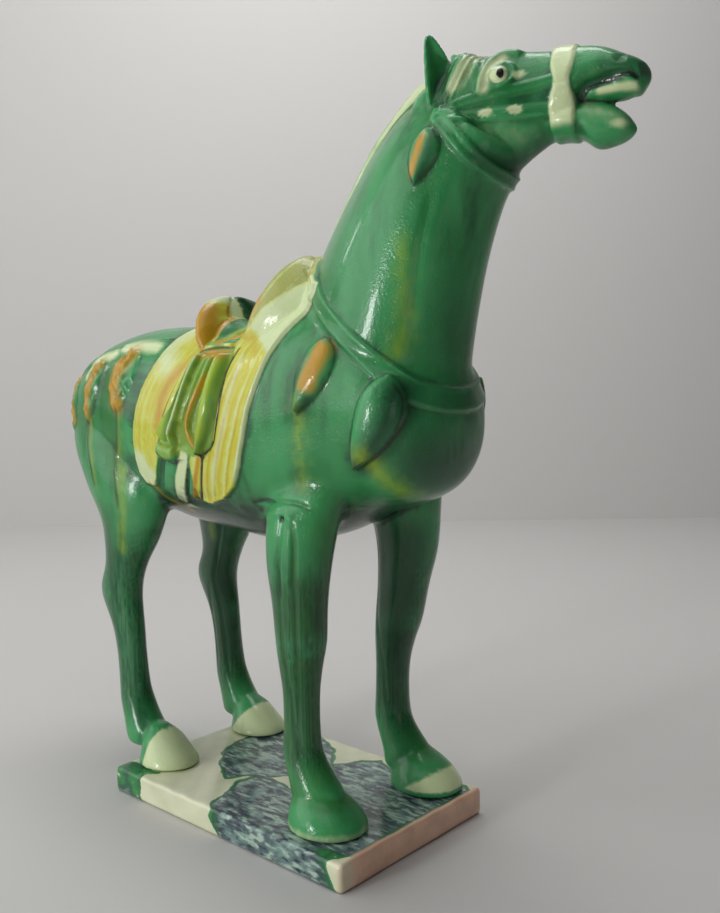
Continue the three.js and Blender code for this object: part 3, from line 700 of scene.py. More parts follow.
def face_relief(skin):
    height = np.zeros(len(skin.at))
    for line, half, rise in CHEEK_STRAPS:
        gap, _ = near_line(skin.cheek, smooth_path(line, 14))
        height = np.maximum(height, strap_relief(gap, half, rise))
    height *= ease(skin.sideways, 0.1, 0.35)
    gap, _ = near_line(skin.cheek, smooth_path(THROAT_STRAP[0], 14))
    height = np.maximum(height, strap_relief(gap, *THROAT_STRAP[1:]))
    for line, half, rise in BROWS:
        gap, _ = near_line(skin.cheek, smooth_path(line, 14))
        height = np.maximum(height, rise * bell(gap, half) * ease(skin.sideways, 0.05, 0.3))
    side, flat_side = ease(skin.sideways, 0.2, 0.5), ease(skin.sideways, 0.3, 0.7)
    ball = np.linalg.norm(skin.cheek - np.array([EYE["at"][0] + 1.2, EYE["at"][2] + 0.2]), axis=1)
    height += 1.5 * bell(ball - 5.7, 1.2) * side
    height -= 0.5 * bell(ball - 4.4, 0.6) * side
    pinch = 2.4 * bell(skin.up + 8, 6.0)
    band = ease(skin.s, 64.4 + pinch, 65.6 + pinch) * ease(skin.s, 77.0 - pinch, 76.0 - pinch)
    fold = 1.3 * bell(skin.up + 8.5 + 0.1 * (skin.s - 70), 0.9) * side
    height = np.maximum(height, (1.9 - fold) * band * ease(skin.up, -42, -36))
    nostril = np.linalg.norm(skin.cheek - np.array([98.5, -1.5]), axis=1)
    height -= 0.6 * bell(nostril, 2.0) * flat_side
    height += 0.25 * bell(nostril - 4.2, 1.6) * flat_side
    gap, _ = near_line(skin.cheek, smooth_path(LIP_LINE, 16))
    height -= 2.3 * bell(gap, 2.1) * flat_side
    return height * skin.on_head


skin = Skin(horse)
skin.push(cloth_relief(skin) + harness_relief(skin) + face_relief(skin))
use(horse, "even_out", "REMESH", mode="VOXEL", voxel_size=SKIN_VOXEL * MM, adaptivity=0)
use(horse, "soften", "SMOOTH", factor=0.5, iterations=1)
print("after relief, points:", len(horse.data.vertices))

# %% [markdown]
# The last and finest relief is what a thumb and a comb left: long shallow grooves down the neck, combed
# lines in forelock and tail, tendons in the legs, a vent hole at the elbow and the soft crease where each
# foreleg leaves the body. Each row has a line, a half width and a depth. The mesh is then thinned out to
# just under 200,000 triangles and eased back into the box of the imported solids.

# %% Grooves and creases
GROOVES = [
    ([(139, 372), (131, 345), (126, 318), (122, 296)], 2.5, 1.0),
    ([(147, 360), (139, 330), (134, 300), (131, 280)], 2.2, 0.6),
    ([(133, 252), (132, 241), (129, 225)], 1.2, 0.6),
    ([(12, 199), (24, 202), (46, 204), (60, 203), (69, 198)], 1.3, 1.2),
    ([(46, 186), (46, 160), (47, 120), (50, 80), (55, 50)], 1.7, 0.9),
    ([(49, 204), (48.5, 190), (47.5, 170), (46.5, 145)], 2.0, 1.3),
    ([(56, 199), (58, 180), (56, 152)], 1.6, 0.8),
    ([(-121, 128), (-122, 105), (-119, 80), (-114, 55)], 1.6, 0.8),
]
CHEST_LINES = [
    [(133, -8, 252), (132, -6, 241), (128, -2, 225)], [(136, 2, 254), (132, 6, 240), (129, 11, 228)],
    [(134, -3, 249), (132, 0, 238), (129, 4, 226)],
]
RIDGES = [([(4, 180), (17, 191), (44, 197.5), (56, 194), (60, 180)], 2.6, 1.2)]
VENT = (48.5, 195)
MOST_TRIANGLES = 196000
BOX_MARGIN = 0.05


def fine_relief(skin):
    height = np.zeros(len(skin.at))
    for line, half, depth in GROOVES:
        gap, t = near_line(skin.flank, smooth_path(line, 14))
        fade = ease(t, 0, 0.2) * ease(1 - t, 0, 0.2)
        height -= depth * bell(gap, half) * fade
    for line, half, rise in RIDGES:
        gap, t = near_line(skin.flank, smooth_path(line, 14))
        height += rise * bell(gap, half) * ease(t, 0, 0.25) * ease(1 - t, 0, 0.3)
    vent = np.linalg.norm(skin.flank - np.array(VENT), axis=1)
    height -= 1.2 * bell(vent, 1.5)
    height *= ease(skin.out, 20, 30)
    for line in CHEST_LINES:
        gap, t = near_line(skin.at, line)
        height -= 0.55 * bell(gap, 1.6) * ease(t, 0, 0.3) * ease(1 - t, 0, 0.3)
    combed = brushed(skin.cheek, [(22, 12), (18, 4), (13, -9)], 7.5, 1.5) * ease(np.abs(skin.across), 2, 5)
    height += 0.3 * np.sin((skin.s * 0.92 - skin.up * 0.39) * 2.1) * combed * skin.on_head
    x, y, z = skin.at.T
    for side, cannon, _, _, lean, rows in LEGS:
        stations = np.array(rows[::-1])
        bend = ease(z, KNEE, KNEE + LEAN_RISE)
        ahead = x - cannon - np.interp(z, stations[:, 0], stations[:, 1]) - lean * bend
        beside = y - MIDLINE - side * HALF_STANCE
        around, far = np.arctan2(beside, ahead), np.hypot(ahead, beside)
        on_leg = ease(30 - far, 0, 6) * ease(z, 52, 62) * ease(190 - z, 0, 20)
        for turn in (-0.95, 0.95):
            height -= 0.65 * bell((around - turn) * far, 1.8) * on_leg
    at_tail = ease(-x, 192, 196) * ease(z, 228, 234) * ease(18 - skin.out, 0, 4)
    height += 0.25 * np.sin(2.1 * (y - MIDLINE) + 0.25 * z) * at_tail
    return height


skin = Skin(horse)
skin.push(fine_relief(skin))
use(horse, "thin_out", "DECIMATE", ratio=min(1.0, MOST_TRIANGLES / triangles_of(horse)))
at = places_of(horse)
low, high = np.array(CAD_BOX[0]) / MM + BOX_MARGIN, np.array(CAD_BOX[1]) / MM - BOX_MARGIN
low[2] = GROUND
print("points eased back into the box:", int(((at < low) | (at > high)).any(axis=1).sum()))
move_to(horse, np.clip(at, low, high))
bpy.ops.object.shade_smooth()
print("horse triangles:", triangles_of(horse))

# %% [markdown]
# A lead glaze runs: it thins to pale on ridges, gathers dark and bluish in hollows, and drips down. So the
# material needs to know for each point how hollow the skin is and which colour was painted there. These go
# into the mesh as attributes that stay with the surface.

# %% Where the glaze gathers and which colour it has


def neighbour_mean(piece):
    """A function that gives each point of the piece the mean of its neighbours' values."""
    edges = np.empty(len(piece.data.edges) * 2, dtype=np.int32)
    piece.data.edges.foreach_get("vertices", edges)
    a, b = edges.reshape(-1, 2).T
    points = len(piece.data.vertices)
    count = np.bincount(a, minlength=points) + np.bincount(b, minlength=points)
    return lambda values: (np.bincount(a, values[b], points) + np.bincount(b, values[a], points)) / count


def spread(mean, values, rounds):
    for _ in range(rounds):
        values = 0.5 * values + 0.5 * mean(values)
    return values


def hollowness(piece, mean, rounds):
    at = places_of(piece)
    blurred = np.stack([spread(mean, column, rounds) for column in at.T], axis=1)
    return ((blurred - at) * normals_of(piece)).sum(axis=1)


def paint(piece, name, amount):
    layer = piece.data.attributes.new(name, "FLOAT", "POINT")
    layer.data.foreach_set("value", np.clip(amount, 0, 1).astype(np.float32))


def patch(skin_places, centre, half_x, half_z, soft=0.35):
    gap = np.linalg.norm((skin_places - np.array(centre)) / np.array([half_x, half_z]), axis=1)
    return soft_edge(1 - gap, 2 * soft)


def most(*amounts):
    return np.maximum.reduce(amounts)


skin = Skin(horse)
x, y, z = skin.at.T
flank, cheek = skin.flank, skin.cheek
off_head = 1 - skin.on_head
shows_side = ease(np.abs(skin.facing[:, 1]), 0.02, 0.2)
mean = neighbour_mean(horse)
fine = hollowness(horse, mean, 4)
broad = hollowness(horse, mean, 30)
thin = skin.on_head * most(
    0.62 * patch(cheek, (44, -31), 14, 8, 0.9), 0.62 * patch(cheek, (90, -24), 11, 6, 0.9),
    0.34 * patch(cheek, (15, -21), 9, 5, 0.8), 0.25 * patch(cheek, (78, -22), 3, 9, 0.8),
    0.4 * ease(skin.up, 12, 16) * ease(20 - skin.s, 0, 3),
)
thin = thin + 0.16 * patch(flank, (-98, 270), 13, 28, 0.8)
thin = thin + 0.12 * patch(flank, (60, 250), 40, 60, 0.9) * off_head
paint(horse, "hollow", spread(mean, 0.5 + 1.9 * fine + 0.17 * broad - thin, 3))

edge = inside(flank, CLOTH)
on_cloth = soft_edge(edge, 2) * (z > 196)


def zone(outline, soft=2.0):
    return soft_edge(inside(flank, outline), soft)


gathered = zone(COVER)
fringe = zone([(-31, 229), (-33, 196), (-64, 194), (-78, 205), (-72, 212), (-62, 229)])
seat_zone = zone([(-40, 330), (-34, 295), (-6, 296), (-10, 303), (8, 332), (-4, 345)])
pommel_face = zone([
    (-14, 302), (0, 303), (4, 307), (12, 316), (24, 324), (34, 331), (46, 334), (36, 345), (31, 362),
    (12, 362), (-6, 330),
])
pad = zone([
    (4, 305), (12, 315), (24, 323), (34, 330), (46, 335), (58, 327), (55, 320), (47, 308), (39, 296),
    (33, 288), (22, 294), (12, 299),
], 4.0)
cantle = zone([(-37, 290), (-36, 308), (-44, 334), (-62, 334), (-52, 300)])
near_half = ease(MIDLINE + 3 - y, 0, 5)
front_gap, rear_gap = near_line(flank, PANEL_FRONT)[0], near_line(flank, CLOTH_REAR)[0]
fall = strands(np.minimum(front_gap, rear_gap), z, 1.0)
fine_fall = strands(1.9 * np.minimum(front_gap, rear_gap), z, 2.3)
in_front = ease(rear_gap - front_gap, -4, 4)
paint(horse, "strand", 0.5 + 0.28 * fall + 0.13 * fine_fall)
print("cloth points:", int((edge > 0).sum()))

# %% [markdown]
# The cloth was painted with a brush in yellow, straw white and amber, and the glaze drew the strokes into
# thin stripes that follow the fall of the cloth. The same fine lines that were raised there now choose the
# colour.

# %% Colours of cloth and saddle


def strokes(plane, *rows):
    """The strongest of some brush strokes. A row has a line, half width, softness and strength."""
    return most(*[strength * brushed(plane, line, half, soft) for line, half, soft, strength in rows])


# The far half of the cantle gets no yellow and is darkened in the deep layer as painted shade.
far_cantle = cantle * (1 - near_half)
near_cantle = cantle * near_half
plain_cloth = on_cloth * (1 - gathered) * (1 - fringe) * (1 - seat_zone) * (1 - far_cantle)
front_cloth, rear_cloth = plain_cloth * in_front, plain_cloth * (1 - in_front)
on_neck_leaf = ease(skin.out, 6, 12)
crinkled = 0.62 + 0.38 * ease(fine, 0.15, -0.15)
paint(horse, "yellow", most(
    plain_cloth * (1 - pommel_face), near_cantle * ease(x, -52, -47),
    seat_zone * brushed(flank, [(-14, 299), (-6, 306), (2, 318)], 1.5),
))
# Tan on the pommel's upper face is painted shade: a darker olive copy of the cloth's yellow.
paint(horse, "tan", pommel_face * ease(skin.out, 40, 34))
cream = most(
    plain_cloth * pad,
    plain_cloth * strokes(
        flank, ([(-68, 308), (-70, 292), (-64, 285)], 9, 8, 0.75),
        ([(-87, 220), (-83, 212), (-76, 208)], 8, 4, 1),
    ),
    front_cloth * ease(3.4 - front_gap, 0, 2.2) * ease(z, 206, 216),
    front_cloth * ease(fall, 0.2, 0.9) * 0.5,
    front_cloth * brushed(flank, [(8, 286), (5, 262), (0, 240), (-13, 212)], 1.6, 2.5) * 0.9,
    rear_cloth * ease(2.0 - rear_gap, 0, 2.0) * 0.7,
    rear_cloth * ease(fine_fall, 0.4, 0.9) * 0.42,
    strokes(
        # The thin straw-white line on the highest fold's ridge is a painted highlight; the second stroke is
        # a real cream strip.
        flank, ([(-33.5, 288), (-36.5, 266), (-41, 252), (-46, 241)], 0.6, 1.2, 1),
        ([(-37, 226), (-43, 216), (-48, 209), (-55, 196)], 4.4, 1.2, 1),
    ),
    on_neck_leaf * brushed(flank, [(131, 397.5), (133, 395.5)], 1.2, 2.0) * 0.8,
    near_cantle * most(ease(z, 322, 327), ease(11 - skin.out, 0, 4)),
    pommel_face * brushed(flank, [(-6, 308), (6, 326), (20, 349)], 0.6, 1.4) * 0.8,
    off_head * shows_side * strokes(
        flank, ([(-86, 296), (-105, 298), (-122, 297)], 3.6, 3, 1),
        ([(-131, 293), (-151, 289), (-158, 279)], 3.2, 3, 1),
    ),
)
paint(horse, "amber", shows_side * most(
    plain_cloth * strokes(
        flank, ([(-43, 284), (-53, 276), (-60, 262), (-61, 246)], 4.2, 6, 0.9),
        ([(-2, 299), (8, 298), (20, 288)], 1.5, 4, 0.7),
    ),
    front_cloth * (1 - pad) * (1 - pommel_face) * ease(-fall, 0.2, 1.0) * 0.48,
    front_cloth * brushed(flank, [(9, 292), (9, 276), (5, 260), (-1, 238), (-10, 214)], 0.5, 2.2) * 0.9,
    strokes(
        flank, ([(-13, 288), (-20, 272), (-27, 257), (-30, 246), (-27, 238), (-21, 231)], 1.6, 1.4, 1),
        ([(-21, 231), (-25, 221), (-31, 211), (-38, 200)], 1.5, 0.9, 1),
        ([(76.5, 288), (73.5, 280), (70, 271)], 5.4, 3.4, 1),
        ([(-180, 276), (-179, 262), (-178, 248)], 3.6, 3, 1),
        ([(-84, 206), (-74, 197), (-60, 190), (-46, 184)], 1.6, 2.6, 0.9),
    ),
    crinkled * strokes(
        flank, ([(-108, 290), (-114, 279), (-114, 268), (-110, 260)], 7.8, 4.5, 1),
        ([(-143, 286), (-148, 270), (-149, 254)], 5.4, 4, 1),
    ),
    gathered * brushed(flank, [(-30, 290), (-20, 290), (-8, 289)], 2.4, 3),
    near_cantle * ease(skin.out, 6, 11) * ease(327 - z, 0, 8),
    pommel_face * brushed(flank, [(-6, 301), (1, 311), (8, 322)], 2.6, 2.6),
    seat_zone * brushed(flank, [(-22, 296), (-11, 303), (-3, 313)], 2.6),
    (1 - skin.right_side) * brushed(flank, [(113, 271), (106, 252), (101, 240)], 4.5, 3),
    on_neck_leaf * brushed(flank, [(131, 394), (127.5, 377)], 2.5, 2.2),
))

# %% [markdown]
# Dark glaze pooled in narrow lines beside raised things: the edge of the front panel, the folds and the
# stems.
# Beside the breast strap the dark line is painted shadow, and round the leaves it is painted shade, partly
# pooled glaze. The elbow vent and the belly's underside are darkened as painted shade, with glaze stripes
# across the belly. The deep layer is mostly painted shade, partly thicker glaze: on the legs, with dark
# streaks, the chest, the throat, the belly, the far half of the cantle, the shaded halves of the leaves, the
# lower cheek and the muzzle. Below the leaves the glaze ran down olive.

# %% Dark, olive and deep glaze, with painted shade
dark = most(
    brushed(flank, FRONT_PANEL_EDGE, 0.8, 0.7) * (edge > 0),
    strokes(
        flank, ([(-38, 292), (-42, 284), (-44, 272), (-52, 252)], 0.6, 0.7, 1),
        ([(-38, 292), (-22, 293.5), (-6, 293)], 0.7, 0.9, 0.8),
        ([(-19, 229), (-22.5, 217), (-31, 200)], 0.9, 0.8, 1),
        ([(-31, 228), (-38, 215), (-47, 201)], 0.5, 0.7, 1),
        ([(-60, 229), (-50, 222), (-42, 224)], 1, 1.2, 1),
        *[(stem, 1, 1.7, 0.9) for stem in STEMS],
    ),
)
# The dark line just outside the breast strap is painted shadow.
gap, _ = near_line(flank, smooth_path(BREAST_STRAP, 16))
dark = most(dark, 0.42 * bell(gap - 6.0, 0.8) * off_head * (skin.out > 14))
# The dark rim round these leaves is painted shade, partly glaze pooled at their edges.
for leaf in LEAVES[:2] + [NECK_LEAF]:
    gap, width = leaf_shape(skin, *leaf[:3], *leaf[5:])
    dark = most(dark, 0.6 * bell(gap - width - 0.6, 0.8) * (skin.out > 10))
# belly marks the downward-facing underside, which is darkened below as painted shade.
belly = ease(-skin.facing[:, 2], 0.12, 0.6) * ease(218 - z, 0, 25) * ease(z, 164, 174)
stripes = 0.5 + 0.5 * strands(0.7 * x + skin.out, skin.out, 2.0)
paint(horse, "dark", most(
    # Painted shade: the underside, with glaze stripes in it, and the dark inside the elbow vent.
    dark * shows_side, belly * (0.2 + 0.7 * stripes), 0.9 * patch(flank, VENT, 1.6, 1.6) * (skin.out > 25),
))
paint(horse, "olive", shows_side * off_head * most(
    gathered * 0.55,
    gathered * strokes(
        flank, ([(-38, 288), (-43, 270), (-52, 250), (-57, 238)], 3.4, 3, 1),
        ([(-9, 288), (-11, 268), (-13, 250), (-16, 240)], 4.4, 3, 1),
    ),
    seat_zone * brushed(flank, [(-28, 297), (-18, 305), (-9, 316)], 2.0, 3),
    strokes(
        flank, ([(-108, 215), (-106, 190), (-112, 160)], 2.5, 4, 0.6),
        ([(62, 262), (60, 240), (58, 214)], 1.5, 6, 0.7),
        ([(122, 345), (121, 318), (120, 300), (116, 286)], 1.5, 7, 0.7),
        ([(104, 232), (108, 224), (112, 212)], 5, 6, 0.6),
        *[(np.array(stem) + [2.4, 0], 1.8, 4, 0.6) for stem in STEMS],
    ),
))
# Inward faces of the legs, which take painted shade.
shaded_inner_faces = ease(np.sign(y - MIDLINE) * skin.facing[:, 1], 0.2, -0.7)
# The deep layer is mostly painted shade, partly thicker glaze: chest front, throat, inner legs, belly, far
# half of the cantle, the shaded halves of the leaves, the muzzle below the lip and the lower cheek. On the
# legs it is painted shade with dark streaks in it.
paint(horse, "deep", most(
    0.8 * ease(x, 100, 126) * ease(266 - z, 0, 45),
    0.5 * ease(x, 124, 136) * ease(330 - z, 0, 50),
    0.75 * ease(200 - z, 0, 25) * ease(z, 50, 70) * shaded_inner_faces,
    0.8 * belly,
    0.8 * far_cantle,
    ease(190 - z, 0, 40) * ease(z, 40, 60) * (0.56 + 0.28 * strands(2.2 * x + 2.2 * y, 0.4 * z, 3.1)),
    strokes(
        flank, ([(122, 266), (120, 250), (110, 235), (98, 227)], 5, 5, 0.95),
        ([(66, 285), (62, 270), (62, 257), (70, 262)], 2, 2.5, 0.85),
    ),
    on_neck_leaf * brushed(flank, [(137, 395), (136, 385), (132, 375)], 2.2, 3) * 0.8,
    skin.on_head * 0.6 * ease(skin.s, 84, 92) * ease(-0.5 - skin.up, -6, 4) * ease(skin.up, -12, -8),
    skin.on_head * 0.8 * brushed(cheek, [(33, -42), (46, -47), (58, -37)], 5, 5),
))
print("points with dark glaze:", int((dark > 0.5).sum()))

# %% [markdown]
# On the head the straw white marks the forelock, the eye with its lid, the noseband, two spots on the cheek
# strap and the lips. Slip shows on the hooves where no green was laid.

# %% Colours of head and feet
eye_centre = np.array([EYE["at"][0], EYE["at"][2]])
eye_gap = np.linalg.norm(cheek - eye_centre, axis=1)
lash = strands(1.2 * (skin.s * 0.92 - skin.up * 0.39), skin.up, 0.7)
star = 0.6 * (np.sin(1.9 * skin.s) * np.sin(1.7 * skin.up))[:, None]
pinch = 2.4 * bell(skin.up + 8, 6.0)
eye_ring = soft_edge(7.6 - eye_gap, 1.5) * (eye_gap > 5.6)
forelock = brushed(cheek, [(25, 11), (21, 4), (17, -4)], 4.0, 3.0) * ease(np.abs(skin.across), 3, 6)
noseband = ease(skin.s, 63.4 + pinch, 65.8 + pinch) * ease(skin.s, 78.2 - pinch, 75.8 - pinch)
cream = most(
    cream,
    skin.on_head * most(
        forelock * (0.75 + 0.4 * lash),
        noseband * ease(skin.up, -33, -25),
        soft_edge(4.5 - eye_gap, 1.4) * ease(skin.sideways, 0.05, 0.3),
        0.75 * eye_ring * ease(37 - skin.s, 0, 2) * ease(skin.up, -7, -4),
        patch(cheek + star, (34.2, -20.3), 3.6, 2.0), patch(cheek + star, (48.5, -19.8), 3.8, 2.3),
        0.8 * patch(cheek, (50, -2.5), 3, 2.5), 0.8 * patch(cheek, (98, -31), 4.0, 2.5, 0.6),
        0.32 * patch(cheek, (44, -31), 12, 6.5, 0.9), 0.32 * patch(cheek, (88, -25), 9, 5, 0.9),
        strokes(
            cheek, ([(33, -8), (33.3, -1), (35.6, 4.6), (40, 7.8)], 2.5, 2.6, 0.9),
            ([(88, -14.5), (97, -14), (105, -14.5)], 1.7, 1.2, 1),
            ([(82, -22), (92, -26), (99, -30)], 3.5, 4, 0.42),
        ),
    ),
    brushed(skin.at, MANE, 3.7, 0.9),
)
left_foot, right_foot = (y > MIDLINE) * (z < 60), (y < MIDLINE) * (z < 60)
hind, fore = x < 0, x > 0
toe_wedge = ease(22 + 0.62 * (x - 75) - z, -2.2, 2.2) * ease(x, 72, 76)
toe_wedge = ease(z, 20, 21.5) * toe_wedge * ease(34 - z, 0, 2.5)
foot = most(
    right_foot * hind * soft_edge(x + 86 - 0.1 * (z - 30), 2) * ease(43 - z, 0, 1.5),
    left_foot * hind * soft_edge(x + 79 + 0.8 * (37 - z), 2) * ease(40 - z, 0, 2),
    left_foot * fore * toe_wedge,
    right_foot * fore * 0.46 * ease(23.5 - z, 0, 4),
    right_foot * fore * patch(skin.at[:, [0, 1]], (97, -27), 7, 8, 0.3) * ease(26 - z, 0, 3),
)
paint(horse, "cream", most(cream, foot))
pupil = np.linalg.norm((cheek - eye_centre - np.array([1.5, 0.2])) / np.array([1.75, 2.5]), axis=1)
pupil = soft_edge(1 - pupil, 0.5) * ease(skin.sideways, 0.3, 0.5)
# Black along the lips, inside the open mouth and under the chin is painted shade. The pupil is the eye's own
# black.
mouth = most(
    brushed(cheek, np.array(LIP_LINE) - [0, 1.2], 1.9, 0.9) * ease(skin.sideways, 0.1, 0.4),
    brushed(cheek, [(79, -17), (85, -18), (93, -19), (100, -19)], 1.2, 0.8),
    brushed(cheek, [(82, -40), (88, -42), (94, -41)], 3.0, 3.0),
)
paint(horse, "black", most(pupil, mouth * 0.60) * skin.on_head)
print("painted layers:", [layer.name for layer in horse.data.attributes if layer.name[0] != "."])

# %% [markdown]
# The glaze material mixes the painted layers from the base green upwards. Noise that is drawn out downwards,
# as the glaze ran, gives the streaks and breaks each layer's edge. A fine crackle and a slight waviness are
# left to the bump, and a thin clear coat gives the glassy skin.

# %% Glaze material


class Finish:
    """A material, with short names for the steps that the finishes here share."""

    def __init__(self, name, **settings):
        self.material = bpy.data.materials.new(name)
        self.material.use_nodes = True
        self.nodes, self.links = self.material.node_tree.nodes, self.material.node_tree.links
        self.shader = self.nodes["Principled BSDF"]
        for socket, value in settings.items():
            self.feed(self.shader.inputs[socket.replace("_", " ")], value)

    def feed(self, socket, value):
        """Sets a number, a colour or a size on the socket itself, and links anything else to it."""
        if isinstance(value, tuple):
            socket.default_value = (*value, 1) if socket.type == "RGBA" else value
        elif isinstance(value, (int, float)):
            socket.default_value = value
        else:
            self.links.new(value, socket)

    def node(self, kind, inputs, **settings):
        made = self.nodes.new("ShaderNode" + kind)
        for name, setting in settings.items():
            setattr(made, name, setting)
        for socket, value in inputs.items():
            self.feed(made.inputs[socket], value)
        return made.outputs

    def mixed(self, amount, below, above):
        return self.node("Mix", {0: amount, 6: below, 7: above}, data_type="RGBA")[2]

    def over(self, colour, *layers):
        """The colour under all these layers. A layer is an amount and a tint."""
        for amount, tint in layers:
            colour = self.mixed(amount, colour, tint)
        return colour

    def maths(self, operation, first, second):
        return self.node("Math", {0: first, 1: second}, operation=operation)[0]

    def added(self, first, second):
        return self.maths("ADD", first, second)

    def part_of(self, value, share):
        return self.maths("MULTIPLY", value, share)

    def swayed(self, value, noise, middle, share):
        """The value, more where the noise is over its middle and less where it is under it."""
        return self.added(value, self.part_of(self.maths("SUBTRACT", noise, middle), share))

    def stepped(self, value, low, high):
        inputs = {"Value": value, "From Min": low, "From Max": high}
        return self.node("MapRange", inputs, interpolation_type="SMOOTHSTEP")["Result"]

    def place(self):
        return self.node("TexCoord", {})["Object"]

    def noise(self, scale, stretch=(1, 1, 1), detail=4):
        place = self.node("Mapping", {"Vector": self.place(), "Scale": stretch})["Vector"]
        return self.node("TexNoise", {"Vector": place, "Scale": scale, "Detail": detail})["Fac"]

    def layer(self, name):
        return self.node("Attribute", {}, attribute_name=name)["Fac"]

    def ragged(self, name, grain, wander, softness):
        value = self.swayed(self.layer(name), grain, 0.5, wander)
        return self.stepped(value, 0.5 - softness, 0.5 + softness)

    def done(self, colour, height, strength, depth):
        self.feed(self.shader.inputs["Base Color"], colour)
        bump = self.node("Bump", {"Strength": strength, "Distance": depth, "Height": height})
        self.feed(self.shader.inputs["Normal"], bump["Normal"])
        print(self.material.name, "nodes:", len(self.nodes))
        return self.material


GREEN = (0.012, 0.195, 0.044)
LEAF_GREEN = (0.026, 0.160, 0.014)
PALE_GREEN = (0.047, 0.33, 0.105)
DEEP_GREEN = (0.003, 0.045, 0.014)
# Colour of the deep layer: painted shade, partly thicker glaze.
SHADE_AND_STREAK_GREEN = (0.004, 0.032, 0.017)
TEAL = (0.004, 0.028, 0.022)
OLIVE = (0.34, 0.50, 0.022)
# Painted shade of the pommel's upper face.
TAN = (0.40, 0.43, 0.10)
YELLOW = (0.57, 0.51, 0.018)
STRAW = (0.61, 0.67, 0.10)
CREAM = (0.66, 0.77, 0.43)
AMBER = (0.52, 0.28, 0.004)
DARK = (0.006, 0.014, 0.008)
BLACK = (0.004, 0.004, 0.005)


def glaze():
    made = Finish("running_glaze", Roughness=0.2, IOR=1.47, Coat_Weight=0.2, Coat_Roughness=0.06)
    mixed, stepped, added, part_of = made.mixed, made.stepped, made.added, made.part_of
    streaks = made.noise(60, (1, 1, 0.14))
    clouds = made.noise(22, (1, 1, 0.5))
    drift = made.noise(14, (1, 1, 0.3), 2)
    grain = made.noise(190, (1, 1, 0.6))
    hollow = made.layer("hollow")
    pooled = added(hollow, part_of(clouds, 0.2))
    strand = part_of(added(made.layer("strand"), grain), 0.66)
    straw = mixed(stepped(strand, 0.40, 0.92), YELLOW, STRAW)
    colour = made.over(
        GREEN,
        (stepped(clouds, 0.32, 0.64), PALE_GREEN),
        (part_of(stepped(drift, 0.48, 0.66), 0.6), LEAF_GREEN),
        (part_of(stepped(streaks, 0.50, 0.72), 0.65), DEEP_GREEN),
        (part_of(stepped(pooled, 0.70, 1.0), 0.65), TEAL),
        (stepped(hollow, 0.40, 0.05), PALE_GREEN),
        # The deep layer: painted shade for the most part.
        (part_of(made.layer("deep"), 0.92), SHADE_AND_STREAK_GREEN),
    )
    for name, tint, wander, softness in (
        ("olive", OLIVE, 0.5, 0.5), ("yellow", straw, 0.2, 0.25), ("tan", TAN, 0.3, 0.35),
        ("cream", CREAM, 0.4, 0.42), ("amber", AMBER, 0.5, 0.45), ("dark", DARK, 0.3, 0.45),
        ("black", BLACK, 0.0, 0.2),
    ):
        colour = mixed(made.ragged(name, grain, wander, softness), colour, tint)
    crackle = made.node("TexVoronoi", {"Vector": made.place(), "Scale": 900}, feature="DISTANCE_TO_EDGE")
    peel = made.noise(700, detail=2)
    waves = added(part_of(streaks, 3.0), part_of(peel, 3.5))
    return made.done(colour, added(stepped(crackle["Distance"], 0.0, 0.08), waves), 0.32, 0.0002)


horse.data.materials.clear()
horse.data.materials.append(glaze())

# %% [markdown]
# The slab was cut from a sheet of clay, so its edges are eased and not quite straight. It starts as a cube
# and gets bevelled edges, a fine grid and a little unevenness.

# %% Plinth
SLAB = np.array([208, 130, 17])
half_size = SLAB[:2] / 2
deselect_all()
bpy.ops.mesh.primitive_cube_add(size=1, location=(0, 0, SLAB[2] / 2 * MM))
plinth = bpy.context.object
plinth.name = "slab"
plinth.scale = SLAB * MM
bpy.ops.object.transform_apply(location=True, rotation=True, scale=True)
use(plinth, "eased_edges", "BEVEL", width=2.4 * MM, segments=4)
use(plinth, "fine_grid", "REMESH", mode="VOXEL", voxel_size=1.1 * MM, adaptivity=0)
use(plinth, "soften", "SMOOTH", factor=0.5, iterations=3)
at = places_of(plinth)
x, y, z = at.T
wave = 0.35 * np.sin(x * 0.11 + 1) * np.sin(y * 0.13) + 0.25 * np.sin(x * 0.31 + y * 0.27)
at[:, 2] -= ease(z, 6, 16) * (0.4 + wave * 0.6)
inset = 0.3 + 0.3 * np.sin(z * 0.5 + x * 0.09) * np.sin(y * 0.1)
for axis, half in enumerate(half_size):
    at[:, axis] -= np.sign(at[:, axis]) * inset * ease(np.abs(at[:, axis]), half - 8, half)
move_to(plinth, at)
bpy.ops.object.shade_smooth()
print("slab triangles:", triangles_of(plinth))

# %% [markdown]
# White slip covers the slab. Green glaze that ran off the hooves gathered in blue-green pools with bright
# rims, and some ran over the edge. The front face stayed bare clay. The pools are outlines seen from above,
# and the value "pool" rises from 0 outside to 1 well inside. Where it is held at the value of the green
# rim, the glaze stays plain green.

# %% Slip and pools
POOLS = [
    [
        (-51, -19), (-66, -3), (-75, 20), (-73, 37), (-73, 58), (-31, 62), (-10, 50), (5, 33), (12, 17),
        (-4, -4), (-13, -15), (-23, -16), (-31, -29),
    ],
    [
        (6, -66), (-8, -62), (-14, -45), (-19, -29), (-19, -16), (-7, -10), (15, -15), (42, -2), (25, 13),
        (8, 31), (18, 47), (28, 56), (58, 40), (76, 52), (94, 60), (101, 56), (103, 26), (103, 5),
        (102, -34), (102, -52), (92, -66), (60, -72),
    ],
    [(-110, -70), (-104, -54), (-88, -52), (-71, -52), (-75, -60), (-77, -70)],
]
GREEN_RIM = 0.54
plan = at[:, :2].copy()
over_side = np.maximum(0, 15 - z)
right_face = y < -62
plan[:, 1] += np.where(right_face, over_side * 0.3, 0)
plan[:, 0] -= np.where(right_face & (np.abs(x - 20) < 40), over_side * 0.85, 0)
pool = most(*[inside(plan, outline) for outline in POOLS])
